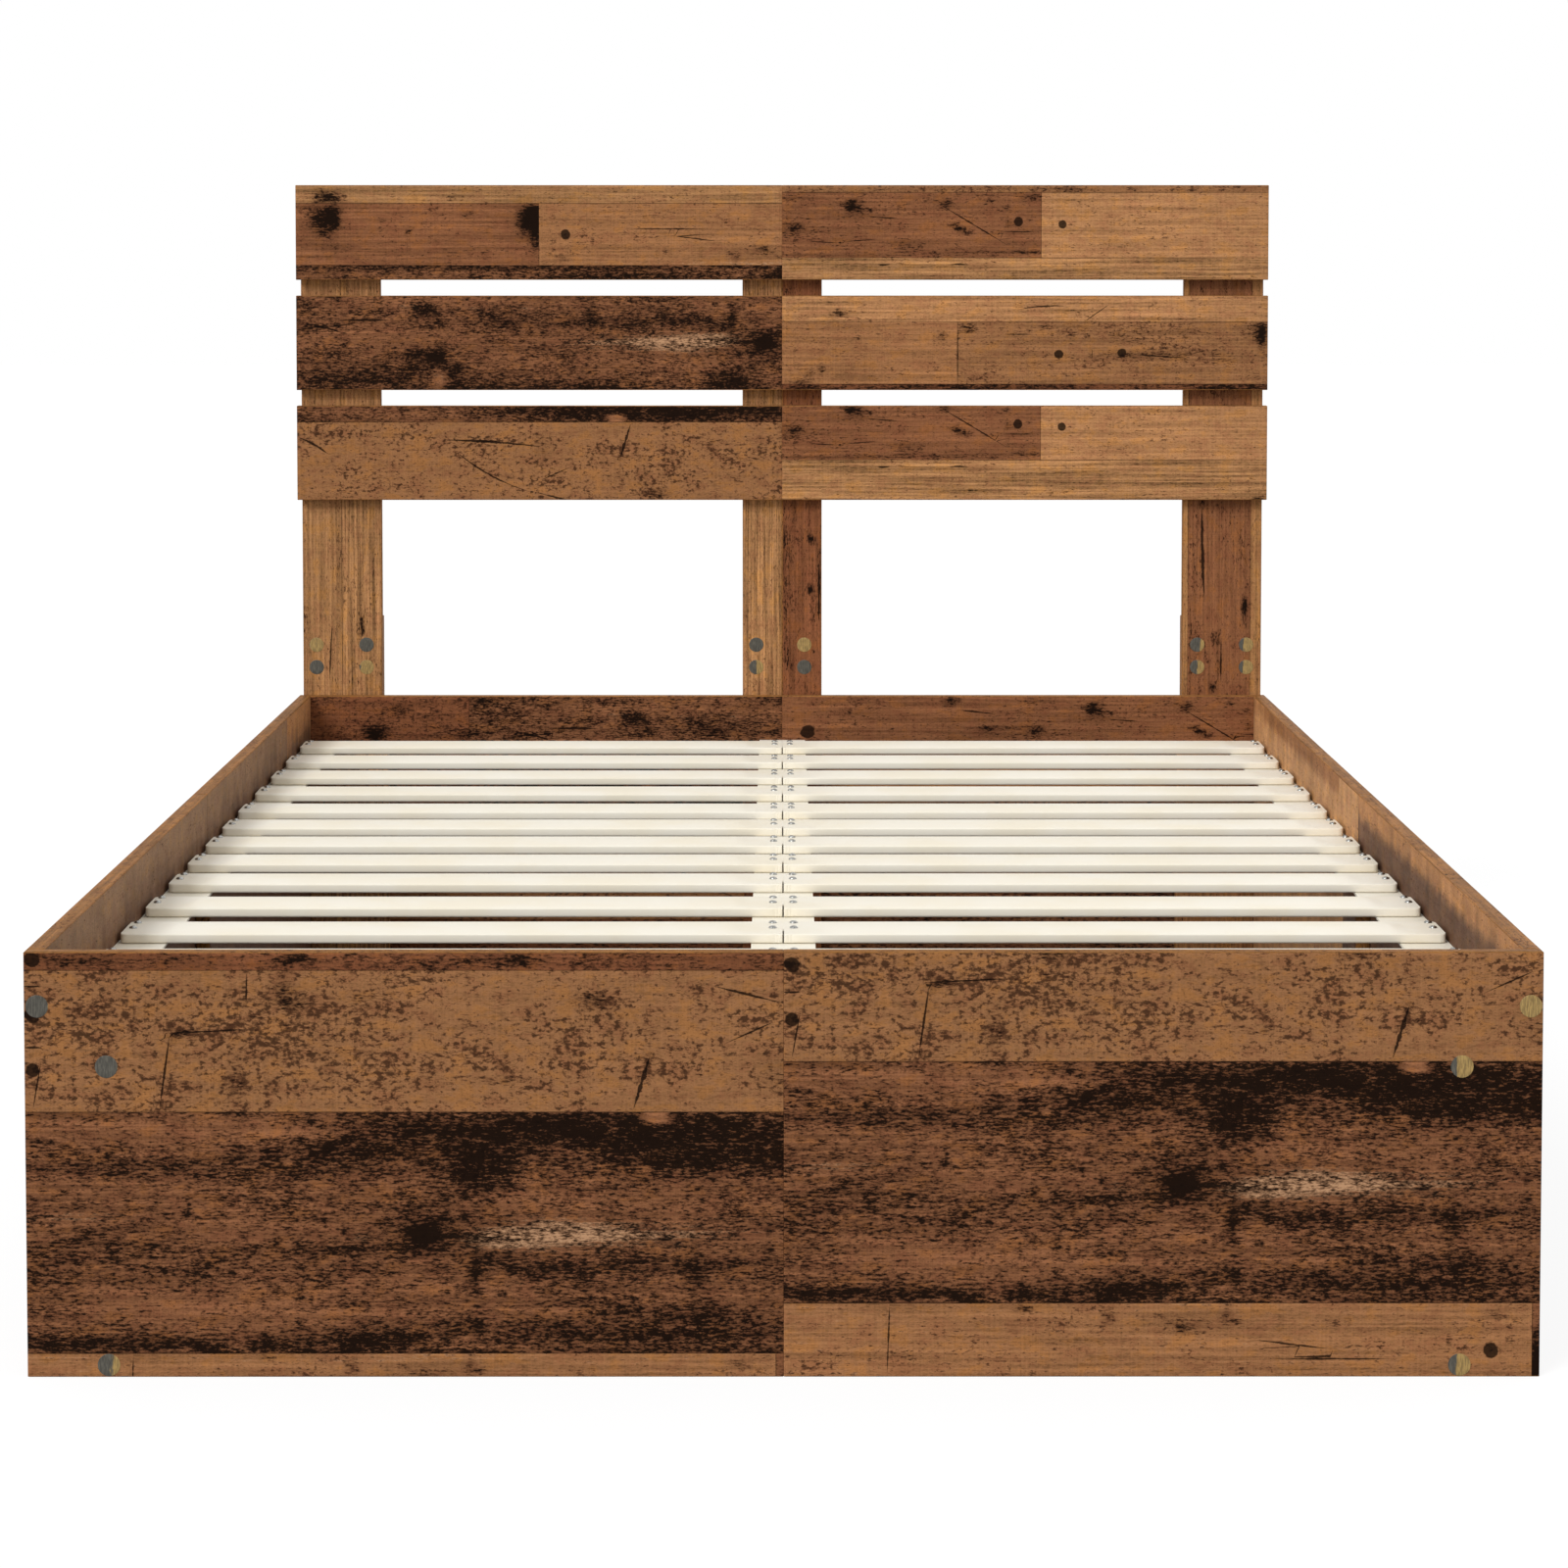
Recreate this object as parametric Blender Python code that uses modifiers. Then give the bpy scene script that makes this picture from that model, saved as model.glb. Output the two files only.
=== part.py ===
"""A 120 x 200 cm flat-pack bed frame: board panels with a plank decor, and steel slats.

Units are metres. +X is the bed's right seen from its foot, +Y runs from foot to head and +Z is up.
The origin is on the floor, in the middle of the frame's overall box.
"""

import math

import bmesh
import bpy

# Overall sizes
INNER_WIDTH = 1.205
INNER_LENGTH = 2.000
BASE_HEIGHT = 0.350
BOARD_THICKNESS = 0.015
EDGE_EASE = 0.0008
FIT_GAP = 0.0003

# Headboard
HEADBOARD_CLEARANCE = 0.251
HEADBOARD_ROWS = 3
HEADBOARD_BOARD_HEIGHT = 0.120
HEADBOARD_BOARD_GAP = 0.020
POST_WIDTH = 0.101
POST_SIDE_INSET = 0.0045
POST_TOP_INSET = 0.010
REAR_UPRIGHT_RISE = 0.100

# Battens and splice boards inside the base
BATTEN_WIDTH = 0.100
BATTEN_DROP = 0.001
SPLICE_BOARD_LENGTH = 0.200

# Steel slats, one left and one right in each row
RECESS_DEPTH = 0.0475
SLAT_ROWS_PER_END = 6
SLAT_CLOSE_ROWS_PER_END = 2
SLAT_CLOSE_PITCH = 0.1352
SLAT_END_ROOM = 0.0773
SLAT_FIELD_SHIFT = 0.010
SLAT_DEPTH = 0.075
SLAT_RISE = 0.0085
SLAT_CROWN = 0.0025
SLAT_CROWN_FLAT_SHARE = 0.4
SLAT_SHEET = 0.0012
SLAT_EDGE_RADIUS = 0.0035
SLAT_LIP = 0.004
SLAT_TAB_LENGTH = 0.029
SLAT_TAB_RAMP = 0.006
SLAT_CENTRE_GAP = 0.0015
SLAT_RAIL_CLEARANCE = 0.0035
SLAT_ARC_STEPS = 2
SLAT_SHARP_DEGREES = 50

# Steel angles, centre beam and its legs
LEDGE_WIDTH = 0.045
LEDGE_HEIGHT = 0.030
BEAM_WIDTH = 0.058
BEAM_HEIGHT = 0.030
STEEL_SHEET = 0.002
LEG_DIAMETER = 0.030
LEG_FOOT_DIAMETER = 0.050
LEG_FOOT_HEIGHT = 0.008
LEG_FOOT_CHAMFER = 0.002
LEG_SIDES = 24
LEG_PLACE_SHARES = (1 / 3, 2 / 3)
LEG_MERGE_DISTANCE = 0.00001

# Planes and heights that follow from the sizes above
HALF_INNER = INNER_WIDTH / 2
HALF_WIDTH = HALF_INNER + BOARD_THICKNESS
OVERALL_LENGTH = INNER_LENGTH + 4 * BOARD_THICKNESS + 2 * FIT_GAP
FOOT_FRONT = -OVERALL_LENGTH / 2
FOOT_BACK = FOOT_FRONT + BOARD_THICKNESS
MIDDLE = FOOT_BACK + INNER_LENGTH / 2
HEAD_FRONT = FOOT_BACK + INNER_LENGTH
HEAD_BACK = HEAD_FRONT + BOARD_THICKNESS
POST_FRONT = HEAD_BACK + FIT_GAP
POST_BACK = POST_FRONT + BOARD_THICKNESS
UPRIGHT_FRONT = POST_BACK + FIT_GAP
UPRIGHT_BACK = UPRIGHT_FRONT + BOARD_THICKNESS
SLAT_SEAT = BASE_HEIGHT - RECESS_DEPTH - SLAT_RISE
LEDGE_TOP = SLAT_SEAT - FIT_GAP
LEDGE_BOTTOM = LEDGE_TOP - LEDGE_HEIGHT
BEAM_BOTTOM = LEDGE_TOP - BEAM_HEIGHT
HEADBOARD_BOTTOM = BASE_HEIGHT + HEADBOARD_CLEARANCE
HEADBOARD_PITCH = HEADBOARD_BOARD_HEIGHT + HEADBOARD_BOARD_GAP
HEADBOARD_TOP = HEADBOARD_BOTTOM + HEADBOARD_ROWS * HEADBOARD_PITCH - HEADBOARD_BOARD_GAP

# Finishes: base colour, roughness, metallic
TAN_DECOR = ((0.35, 0.19, 0.09, 1), 0.55, 0)
DARK_DECOR = ((0.12, 0.06, 0.035, 1), 0.55, 0)
GOLDEN_DECOR = ((0.42, 0.24, 0.11, 1), 0.55, 0)
CREAM_STEEL = ((0.86, 0.82, 0.72, 1), 0.35, 0)

SIDES = (("left", -1), ("right", 1))


def clear_scene():
    for scene_object in list(bpy.data.objects):
        bpy.data.objects.remove(scene_object, do_unlink=True)


def new_collection(name):
    collection = bpy.data.collections.new(name)
    bpy.context.scene.collection.children.link(collection)
    return collection


def new_finish(name, finish):
    """A material of its own for one piece, from a (colour, roughness, metallic) finish."""
    colour, roughness, metallic = finish
    material = bpy.data.materials.new(name + "_finish")
    material.use_nodes = True
    shader = material.node_tree.nodes["Principled BSDF"]
    shader.inputs["Base Color"].default_value = colour
    shader.inputs["Roughness"].default_value = roughness
    shader.inputs["Metallic"].default_value = metallic
    material.diffuse_color = colour
    return material


def add_object(collection, name, mesh, finish, location=(0, 0, 0)):
    """Links a mesh as a named piece. The finish is set on the object, so copies may share a mesh."""
    piece = bpy.data.objects.new(name, mesh)
    piece.location = location
    collection.objects.link(piece)
    if not mesh.materials:
        mesh.materials.append(None)
    piece.material_slots[0].link = "OBJECT"
    piece.material_slots[0].material = new_finish(name, finish)
    return piece


def add_board(collection, name, across, along, up, finish):
    """A flat board with eased edges, from its (low, high) limits in X, Y and Z."""
    limits = (across, along, up)
    size = [high - low for low, high in limits]
    centre = [(low + high) / 2 for low, high in limits]
    shape = bmesh.new()
    bmesh.ops.create_cube(shape, size=1)
    bmesh.ops.scale(shape, vec=size, verts=shape.verts)
    mesh = bpy.data.meshes.new(name)
    shape.to_mesh(mesh)
    shape.free()
    board = add_object(collection, name, mesh, finish, centre)
    ease = board.modifiers.new("Eased edges", "BEVEL")
    ease.width = EDGE_EASE
    ease.segments = 1
    return board


def side_limits(side, inner, outer):
    """The (low, high) X limits of a piece between two distances from the middle, on one side."""
    return (inner, outer) if side > 0 else (-outer, -inner)


def add_bent_sheet(collection, name, outline, along, finish):
    """Sheet steel of one closed (x, z) outline, running over the (low, high) limits in Y."""
    low, high = along
    curve = bpy.data.curves.new(name, "CURVE")
    curve.dimensions = "2D"
    curve.fill_mode = "BOTH"
    curve.extrude = (high - low) / 2
    spline = curve.splines.new("POLY")
    spline.points.add(len(outline) - 1)
    for point, (x, z) in zip(spline.points, outline):
        point.co = (x, z, 0, 1)
    spline.use_cyclic_u = True
    sheet = add_object(collection, name, curve, finish, (0, (low + high) / 2, 0))
    sheet.rotation_euler = (math.radians(90), 0, 0)
    return sheet


def build_panels(collection):
    """The foot panel, the head panel and the side rails, each in two lengths that meet at a seam."""
    height = (0, BASE_HEIGHT)
    for word, side in SIDES:
        across = side_limits(side, FIT_GAP / 2, HALF_WIDTH)
        add_board(collection, f"foot_panel_{word}", across, (FOOT_FRONT, FOOT_BACK), height, DARK_DECOR)
        add_board(collection, f"head_panel_{word}", across, (HEAD_FRONT, HEAD_BACK), height, DARK_DECOR)
        across = side_limits(side, HALF_INNER, HALF_WIDTH)
        front = (FOOT_BACK + FIT_GAP, MIDDLE - FIT_GAP / 2)
        rear = (MIDDLE + FIT_GAP / 2, HEAD_FRONT - FIT_GAP)
        add_board(collection, f"side_rail_{word}_front", across, front, height, TAN_DECOR)
        add_board(collection, f"side_rail_{word}_rear", across, rear, height, TAN_DECOR)


def build_headboard(collection):
    """Three rows of boards in two halves, on posts that stand on the floor behind the head panel."""
    for row in range(HEADBOARD_ROWS):
        low = HEADBOARD_BOTTOM + row * HEADBOARD_PITCH
        for word, side in SIDES:
            name = f"headboard_board_{row + 1}_{word}"
            across = side_limits(side, FIT_GAP / 2, HALF_WIDTH)
            up = (low, low + HEADBOARD_BOARD_HEIGHT)
            add_board(collection, name, across, (HEAD_FRONT, HEAD_BACK), up, TAN_DECOR)
    post_up = (0, HEADBOARD_TOP - POST_TOP_INSET)
    post_along = (POST_FRONT, POST_BACK)
    upright_up = (0, BASE_HEIGHT + REAR_UPRIGHT_RISE)
    upright_along = (UPRIGHT_FRONT, UPRIGHT_BACK)
    outer = HALF_WIDTH - POST_SIDE_INSET
    for word, side in SIDES:
        across = side_limits(side, outer - POST_WIDTH, outer)
        half = side_limits(side, FIT_GAP / 2, POST_WIDTH / 2)
        add_board(collection, f"headboard_post_{word}", across, post_along, post_up, GOLDEN_DECOR)
        add_board(collection, f"headboard_post_middle_{word}", half, post_along, post_up, GOLDEN_DECOR)
        add_board(collection, f"rear_upright_{word}", across, upright_along, upright_up, GOLDEN_DECOR)
    across = (-POST_WIDTH / 2, POST_WIDTH / 2)
    add_board(collection, "rear_upright_middle", across, upright_along, upright_up, GOLDEN_DECOR)


def build_battens(collection):
    """Boards inside the base: one in each corner, one under each end of the beam, one at each rail seam."""
    ends = (
        ("foot", (FOOT_BACK + FIT_GAP, FOOT_BACK + FIT_GAP + BOARD_THICKNESS)),
        ("head", (HEAD_FRONT - FIT_GAP - BOARD_THICKNESS, HEAD_FRONT - FIT_GAP)),
    )
    outer = HALF_INNER - FIT_GAP
    corner_up = (0, LEDGE_TOP - BATTEN_DROP)
    centre_up = (0, BEAM_BOTTOM - FIT_GAP)
    for end, along in ends:
        for word, side in SIDES:
            across = side_limits(side, outer - BATTEN_WIDTH, outer)
            add_board(collection, f"corner_batten_{end}_{word}", across, along, corner_up, TAN_DECOR)
        across = (-BATTEN_WIDTH / 2, BATTEN_WIDTH / 2)
        add_board(collection, f"centre_batten_{end}", across, along, centre_up, TAN_DECOR)
    splice_along = (MIDDLE - SPLICE_BOARD_LENGTH / 2, MIDDLE + SPLICE_BOARD_LENGTH / 2)
    splice_up = (0, LEDGE_BOTTOM - FIT_GAP)
    for word, side in SIDES:
        across = side_limits(side, outer - BOARD_THICKNESS, outer)
        add_board(collection, f"rail_splice_board_{word}", across, splice_along, splice_up, TAN_DECOR)


def build_slat_carriers(collection):
    """An angle on each side rail and an inverted channel down the middle, which the slat ends lie on."""
    batten_reach = BOARD_THICKNESS + 2 * FIT_GAP
    along = (FOOT_BACK + batten_reach, HEAD_FRONT - batten_reach)
    wall = HALF_INNER - FIT_GAP
    angle = (
        (wall, LEDGE_BOTTOM),
        (wall, LEDGE_TOP),
        (wall - LEDGE_WIDTH, LEDGE_TOP),
        (wall - LEDGE_WIDTH, LEDGE_TOP - STEEL_SHEET),
        (wall - STEEL_SHEET, LEDGE_TOP - STEEL_SHEET),
        (wall - STEEL_SHEET, LEDGE_BOTTOM),
    )
    for word, side in SIDES:
        outline = [(side * x, z) for x, z in angle]
        add_bent_sheet(collection, f"side_ledge_{word}", outline, along, CREAM_STEEL)
    half = BEAM_WIDTH / 2
    inner = half - STEEL_SHEET
    channel = (
        (half, BEAM_BOTTOM),
        (half, LEDGE_TOP),
        (-half, LEDGE_TOP),
        (-half, BEAM_BOTTOM),
        (-inner, BEAM_BOTTOM),
        (-inner, LEDGE_TOP - STEEL_SHEET),
        (inner, LEDGE_TOP - STEEL_SHEET),
        (inner, BEAM_BOTTOM),
    )
    along = (FOOT_BACK + FIT_GAP, HEAD_FRONT - FIT_GAP)
    add_bent_sheet(collection, "centre_beam", channel, along, CREAM_STEEL)


def build_legs(collection):
    """Two turned legs with a wide foot, between the floor and the underside of the beam."""
    top = LEDGE_TOP - STEEL_SHEET - FIT_GAP
    profile = (
        (0, top),
        (LEG_DIAMETER / 2, top),
        (LEG_DIAMETER / 2, LEG_FOOT_HEIGHT),
        (LEG_FOOT_DIAMETER / 2 - LEG_FOOT_CHAMFER, LEG_FOOT_HEIGHT),
        (LEG_FOOT_DIAMETER / 2, LEG_FOOT_HEIGHT - LEG_FOOT_CHAMFER),
        (LEG_FOOT_DIAMETER / 2, 0),
        (0, 0),
    )
    mesh = bpy.data.meshes.new("centre_leg")
    edges = [(i, i + 1) for i in range(len(profile) - 1)]
    mesh.from_pydata([(radius, 0, z) for radius, z in profile], edges, [])
    for number, share in enumerate(LEG_PLACE_SHARES, start=1):
        place = (0, FOOT_BACK + share * INNER_LENGTH, 0)
        leg = add_object(collection, f"centre_leg_{number}", mesh, CREAM_STEEL, place)
        turn = leg.modifiers.new("Turned", "SCREW")
        turn.steps = LEG_SIDES
        turn.render_steps = LEG_SIDES
        turn.use_merge_vertices = True
        turn.merge_threshold = LEG_MERGE_DISTANCE


def slat_section(crown):
    """The slat's (y, z) section from the front lip over the crown to the back lip, z = 0 at its seat."""
    half = SLAT_DEPTH / 2
    front = [(-half + SLAT_LIP, 0), (-half, 0)]
    for step in range(SLAT_ARC_STEPS + 1):
        angle = math.radians(90) * step / SLAT_ARC_STEPS
        y = -half + SLAT_EDGE_RADIUS * (1 - math.cos(angle))
        z = SLAT_RISE - SLAT_EDGE_RADIUS * (1 - math.sin(angle))
        front.append((y, z))
    front.append((-half * SLAT_CROWN_FLAT_SHARE, SLAT_RISE + crown))
    back = [(-y, z) for y, z in reversed(front)]
    return front + back


def slat_mesh(length):
    """A bent sheet between two pressed tabs: sections without a crown, then with it, then without."""
    ramp = SLAT_TAB_LENGTH + SLAT_TAB_RAMP
    stations = (
        (0, 0),
        (SLAT_TAB_LENGTH, 0),
        (ramp, SLAT_CROWN),
        (length - ramp, SLAT_CROWN),
        (length - SLAT_TAB_LENGTH, 0),
        (length, 0),
    )
    points = []
    for x, crown in stations:
        points += [(x - length / 2, y, z) for y, z in slat_section(crown)]
    count = len(points) // len(stations)
    faces = []
    for station in range(len(stations) - 1):
        for i in range(count - 1):
            a = station * count + i
            faces.append((a, a + count, a + count + 1, a + 1))
    mesh = bpy.data.meshes.new("slat")
    mesh.from_pydata(points, [], faces)
    mesh.shade_smooth()
    mesh.set_sharp_from_angle(angle=math.radians(SLAT_SHARP_DEGREES))
    return mesh


def slat_row_places():
    """The Y of each row's middle, foot to head.

    The rows stand closer together around the middle, and the whole field is shifted a little to the foot.
    """
    end_rows = SLAT_ROWS_PER_END - SLAT_CLOSE_ROWS_PER_END
    close_reach = SLAT_CLOSE_ROWS_PER_END * SLAT_CLOSE_PITCH
    far_reach = INNER_LENGTH / 2 - SLAT_END_ROOM - SLAT_DEPTH / 2
    end_pitch = (far_reach - close_reach) / end_rows
    offsets = []
    for row in range(1, SLAT_ROWS_PER_END + 1):
        close = min(row, SLAT_CLOSE_ROWS_PER_END)
        offsets.append(close * SLAT_CLOSE_PITCH + (row - close) * end_pitch)
    middle_row = MIDDLE - SLAT_FIELD_SHIFT
    before = [middle_row - offset for offset in reversed(offsets)]
    after = [middle_row + offset for offset in offsets]
    return before + [middle_row] + after


def build_slats(collection):
    inner = SLAT_CENTRE_GAP / 2
    outer = HALF_INNER - SLAT_RAIL_CLEARANCE
    mesh = slat_mesh(outer - inner)
    for row, y in enumerate(slat_row_places(), start=1):
        for word, side in SIDES:
            place = (side * (inner + outer) / 2, y, SLAT_SEAT)
            slat = add_object(collection, f"slat_{row:02d}_{word}", mesh, CREAM_STEEL, place)
            sheet = slat.modifiers.new("Sheet", "SOLIDIFY")
            sheet.thickness = SLAT_SHEET
            sheet.offset = -1


def main():
    clear_scene()
    collection = new_collection("bed_frame")
    build_panels(collection)
    build_headboard(collection)
    build_battens(collection)
    build_slat_carriers(collection)
    build_legs(collection)
    build_slats(collection)


main()
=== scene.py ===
"""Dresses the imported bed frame: boards in a worn-plank decor, steel slats, screws, stickers and a studio.

The frame's solids fix every size and place. Each board and slat is drawn again as a fine surface on them.
"""

import math

import bpy
import numpy as np
from bpy.props import FloatProperty, FloatVectorProperty, PointerProperty
from bpy.types import Operator, Panel, PropertyGroup
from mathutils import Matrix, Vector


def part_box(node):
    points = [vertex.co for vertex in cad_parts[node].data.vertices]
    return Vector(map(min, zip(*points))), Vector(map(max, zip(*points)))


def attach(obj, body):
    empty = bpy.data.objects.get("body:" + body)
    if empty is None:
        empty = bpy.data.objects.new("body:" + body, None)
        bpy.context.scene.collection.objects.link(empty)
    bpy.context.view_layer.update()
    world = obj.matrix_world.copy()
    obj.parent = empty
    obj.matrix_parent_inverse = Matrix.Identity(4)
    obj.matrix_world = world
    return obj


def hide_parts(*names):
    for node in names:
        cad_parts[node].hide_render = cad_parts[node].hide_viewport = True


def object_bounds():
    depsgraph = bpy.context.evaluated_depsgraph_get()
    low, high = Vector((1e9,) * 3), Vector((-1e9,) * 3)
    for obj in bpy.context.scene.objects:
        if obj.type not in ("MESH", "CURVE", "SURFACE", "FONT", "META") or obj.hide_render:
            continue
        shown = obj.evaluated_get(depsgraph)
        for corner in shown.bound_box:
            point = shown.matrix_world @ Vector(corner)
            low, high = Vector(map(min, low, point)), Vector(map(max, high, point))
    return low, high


bl_info = {
    "name": "Plank Bed Frame Dressing",
    "version": (1, 0, 0),
    "blender": (4, 5, 0),
    "location": "3D View > Sidebar > Bed Frame",
    "description": "Boards with a worn-plank decor, cream steel slats, screws, stickers and a studio",
    "category": "Object",
}

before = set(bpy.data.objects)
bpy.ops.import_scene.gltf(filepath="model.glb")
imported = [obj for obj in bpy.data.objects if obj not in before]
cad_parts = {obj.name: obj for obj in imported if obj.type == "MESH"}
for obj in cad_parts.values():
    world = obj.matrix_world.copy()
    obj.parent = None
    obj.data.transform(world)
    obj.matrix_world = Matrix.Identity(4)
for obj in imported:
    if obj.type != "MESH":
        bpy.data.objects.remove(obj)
CAD_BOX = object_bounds()
WOOD_SLOT, STEEL_SLOT = "old_wood_decor", "cream_steel"
SIDES = (("left", -1), ("right", 1))
SLAT_NODES = sorted(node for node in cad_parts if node.startswith("slat_"))
# How brightly the studio lights a white face that stands upright, one that lies flat, and the slats.
UPRIGHT_LIGHT, TOP_LIGHT, SLAT_LIGHT = 1.00, 1.26, 1.17


def linear(shade, light):
    """The linear colour that renders as this 8-bit colour on a face lit to the given share."""
    share = np.array(shade) / 255
    value = np.where(share <= 0.04045, share / 12.92, ((share + 0.055) / 1.055) ** 2.4)
    return tuple(float(v) for v in value / light)


def colour_property(name, description, *shade, light=UPRIGHT_LIGHT):
    """A colour property whose default is the linear colour of an 8-bit shade."""
    return FloatVectorProperty(
        name=name, description=description, default=linear(shade, light),
        subtype="COLOR", size=3, min=0, max=1,
    )


def length_property(name, description, default):
    """A length property in metres."""
    return FloatProperty(
        name=name, description=description, default=default, min=0, unit="LENGTH", precision=4,
    )


class DecorLook(PropertyGroup):
    tan: colour_property("Tan", "Planks of middle tone", 147, 103, 68)
    light: colour_property("Light", "Pale new planks", 172, 124, 83)
    grainy: colour_property("Grainy", "Planks with strong lines of grain", 158, 115, 76)
    brown: colour_property("Brown", "Red-brown planks", 133, 87, 58)
    worn: colour_property("Worn", "Light planks with scratches", 152, 106, 70)
    smoky: colour_property("Smoky", "The wood under the soot of smoky planks", 144, 96, 65)
    red: colour_property("Red", "The darkest red planks", 131, 82, 54)
    golden: colour_property("Golden", "The posts' yellow strips", 158, 113, 72)
    edge: colour_property("Edge", "Edge bands, seen from above", 161, 112, 64, light=TOP_LIGHT)
    dusty: colour_property("Dusty", "Dull planks inside the left rail", 144, 112, 85)
    # Dusk colours a darker strip low on the rails' insides, just above the slats: all along the left rail,
    # and along most of the right front rail.
    dusk: colour_property("Dusk", "Dark dull planks inside the rails", 102, 75, 58)
    sunny: colour_property("Sunny", "Bright planks inside the right rail", 186, 140, 98)
    soot: colour_property("Soot", "Soot and black stains", 16, 10, 7)
    pits: colour_property("Pits", "Pits, specks and thin soot", 72, 44, 29)
    pale: colour_property("Pale", "Bare streaks", 190, 148, 112)
    joint_width: length_property("Joint width", "Dark line between two planks", 0.0012)
    cell: length_property("Cell", "Mesh cell of the boards that show most", 0.005)
    ease: length_property("Edge ease", "Rounding of the boards' edges", 0.0008)


class SteelLook(PropertyGroup):
    cream: colour_property("Cream", "Powder coat of all steel parts", 249, 243, 228, light=SLAT_LIGHT)
    screw: colour_property("Screw", "Zinc of the screw heads", 186, 186, 182)
    roughness: FloatProperty(name="Roughness", description="Powder coat", default=0.5, min=0, max=1)


class SlatShape(PropertyGroup):
    sheet: length_property("Sheet", "Thickness of the bent sheet", 0.0012)
    edge_radius: length_property("Edge radius", "Upper bend along the slat", 0.0014)
    lip_radius: length_property("Lip radius", "Lower bend along the slat", 0.0020)
    lip: length_property("Lip", "Turned-in lower edge", 0.0040)
    crown: length_property("Crown", "Rise of the middle above the bends", 0.0025)
    tab: length_property("Tab", "Flat length at each end", 0.029)
    ramp: length_property("Ramp", "From the tab to the full crown", 0.020)
    corner_radius: length_property("Corner radius", "Round corner at the rail", 0.006)
    press_depth: length_property("Press depth", "Ribs pressed beside the joint", 0.0004)


class ScrewShape(PropertyGroup):
    diameter: length_property("Head diameter", "Domed screw heads", 0.0075)
    height: length_property("Head height", "Rise of the dome", 0.0022)
    spread: length_property("Spread", "Between the two screws of a slat end", 0.030)
    setback: length_property("Setback", "From the slat's middle line to the front screw, to the foot", 0.0015)
    rail_inset: length_property("Rail inset", "From the slat's outer end", 0.0070)
    centre_inset: length_property("Centre inset", "From the slat's inner end", 0.0088)


class StickerShape(PropertyGroup):
    diameter: length_property("Diameter", "Round stickers over the screws", 0.0185)
    thickness: length_property("Thickness", "Stickers stand proud by this", 0.0003)
    dark: colour_property("Dark", "Dark print", 74, 71, 63)
    gold: colour_property("Gold", "Golden print", 168, 138, 82)


class StageLook(PropertyGroup):
    floor: FloatVectorProperty(
        name="Floor", description="Pale floor", default=(0.38, 0.38, 0.38),
        subtype="COLOR", size=3, min=0, max=1,
    )
    sky: FloatProperty(name="Surrounding light", description="Even light from all round", default=0.80, min=0)
    key: FloatProperty(name="Key light", description="From the left, above the foot", default=1.90, min=0)
    fill: FloatProperty(name="Fill light", description="From the right and behind", default=0.30, min=0)


class BedDressing(PropertyGroup):
    decor: PointerProperty(type=DecorLook)
    steel: PointerProperty(type=SteelLook)
    slat: PointerProperty(type=SlatShape)
    screw: PointerProperty(type=ScrewShape)
    sticker: PointerProperty(type=StickerShape)
    stage: PointerProperty(type=StageLook)


def look():
    """The settings of the open scene."""
    return bpy.context.scene.bed_dressing


# The decor is one printed sheet seen through windows. A sheet is a stack of strips, bottom to top. A strip
# is its top edge in mm, then its planks left to right: the right end in mm, the tone, and in percent of full
# the shares of soot, of pale streaks and of pits, and the strength of the grain.
OPEN = 99000
PRINTS = {
    "A": (
        (-59, ((OPEN, "grainy", 2, 10, -60, 95),)),
        (19.5, ((611.2, "worn", 2, 12, -10, 75), (OPEN, "brown", 4, 10, -10, 95))),
        (218.7, ((967, "smoky", 53, 8, 30, 90), (OPEN, "red", 30, 12, 80, 60))),
        (335, ((OPEN, "tan", 0, 0, 50, 25),)),
        (OPEN, ((OPEN, "red", 34, 5, 55, 60),)),
    ),
    "B": (
        (-120, ((OPEN, "smoky", 40, 12, 30, 90),)),
        (-23, ((OPEN, "tan", 2, 0, 60, 25),)),
        (28, ((OPEN, "grainy", 0, 0, -90, 150),)),
        (110.8, ((329, "brown", 11, 5, 5, 85), (OPEN, "light", 0, 5, -80, 75))),
        (OPEN, ((OPEN, "tan", 12, 5, 60, 60),)),
    ),
    "C": (
        (7.6, ((OPEN, "red", 62, 5, 40, 60),)),
        (86.6, ((223.1, "worn", 2, 5, -40, 80), (OPEN, "tan", 11, 3, 20, 80))),
        (OPEN, ((OPEN, "light", 2, 2, -70, 110),)),
    ),
    "posts": (
        (50, ((OPEN, "grainy", 2, 6, -40, 100),)),
        (110, ((OPEN, "grainy", 4, 0, -60, 150),)),
        (250, ((OPEN, "grainy", 3, 0, -50, 160),)),
        (400, ((OPEN, "red", 16, 6, 20, 90),)),
        (507, ((OPEN, "golden", 0, 0, -60, 90),)),
        (587, ((OPEN, "brown", 10, 2, 10, 80),)),
        (OPEN, ((OPEN, "golden", 2, 0, -60, 90),)),
    ),
    "rail_left": (
        (313, ((OPEN, "dusk", 0, 0, -300, 10),)),
        (OPEN, ((720, "dusty", 0, 0, -300, 10), (OPEN, "light", 0, 0, -300, 10))),
    ),
    "rail_right": (
        (330, ((-925, "worn", 2, 5, -300, 20), (-15.3, "dusk", 4, 0, -300, 20),
               (OPEN, "sunny", 0, 0, -300, 20))),
        (OPEN, ((-15.3, "light", 0, 8, -300, 20), (140, "sunny", 0, 0, -300, 20),
                (860, "worn", 0, 0, -300, 20), (OPEN, "light", 0, 0, -300, 20))),
    ),
    "edge": ((OPEN, ((OPEN, "edge", 10, 4, 20, 90),)),),
}
# The rails' insides are smeared upright and blend across their joints: half the blend's height in metres,
# the smears' strength, and how many fit in a metre along and across.
SMEARED = {"rail_left": (0.016, 0.40, 24, 13), "rail_right": (0.004, 0.66, 52, 18)}

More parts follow.
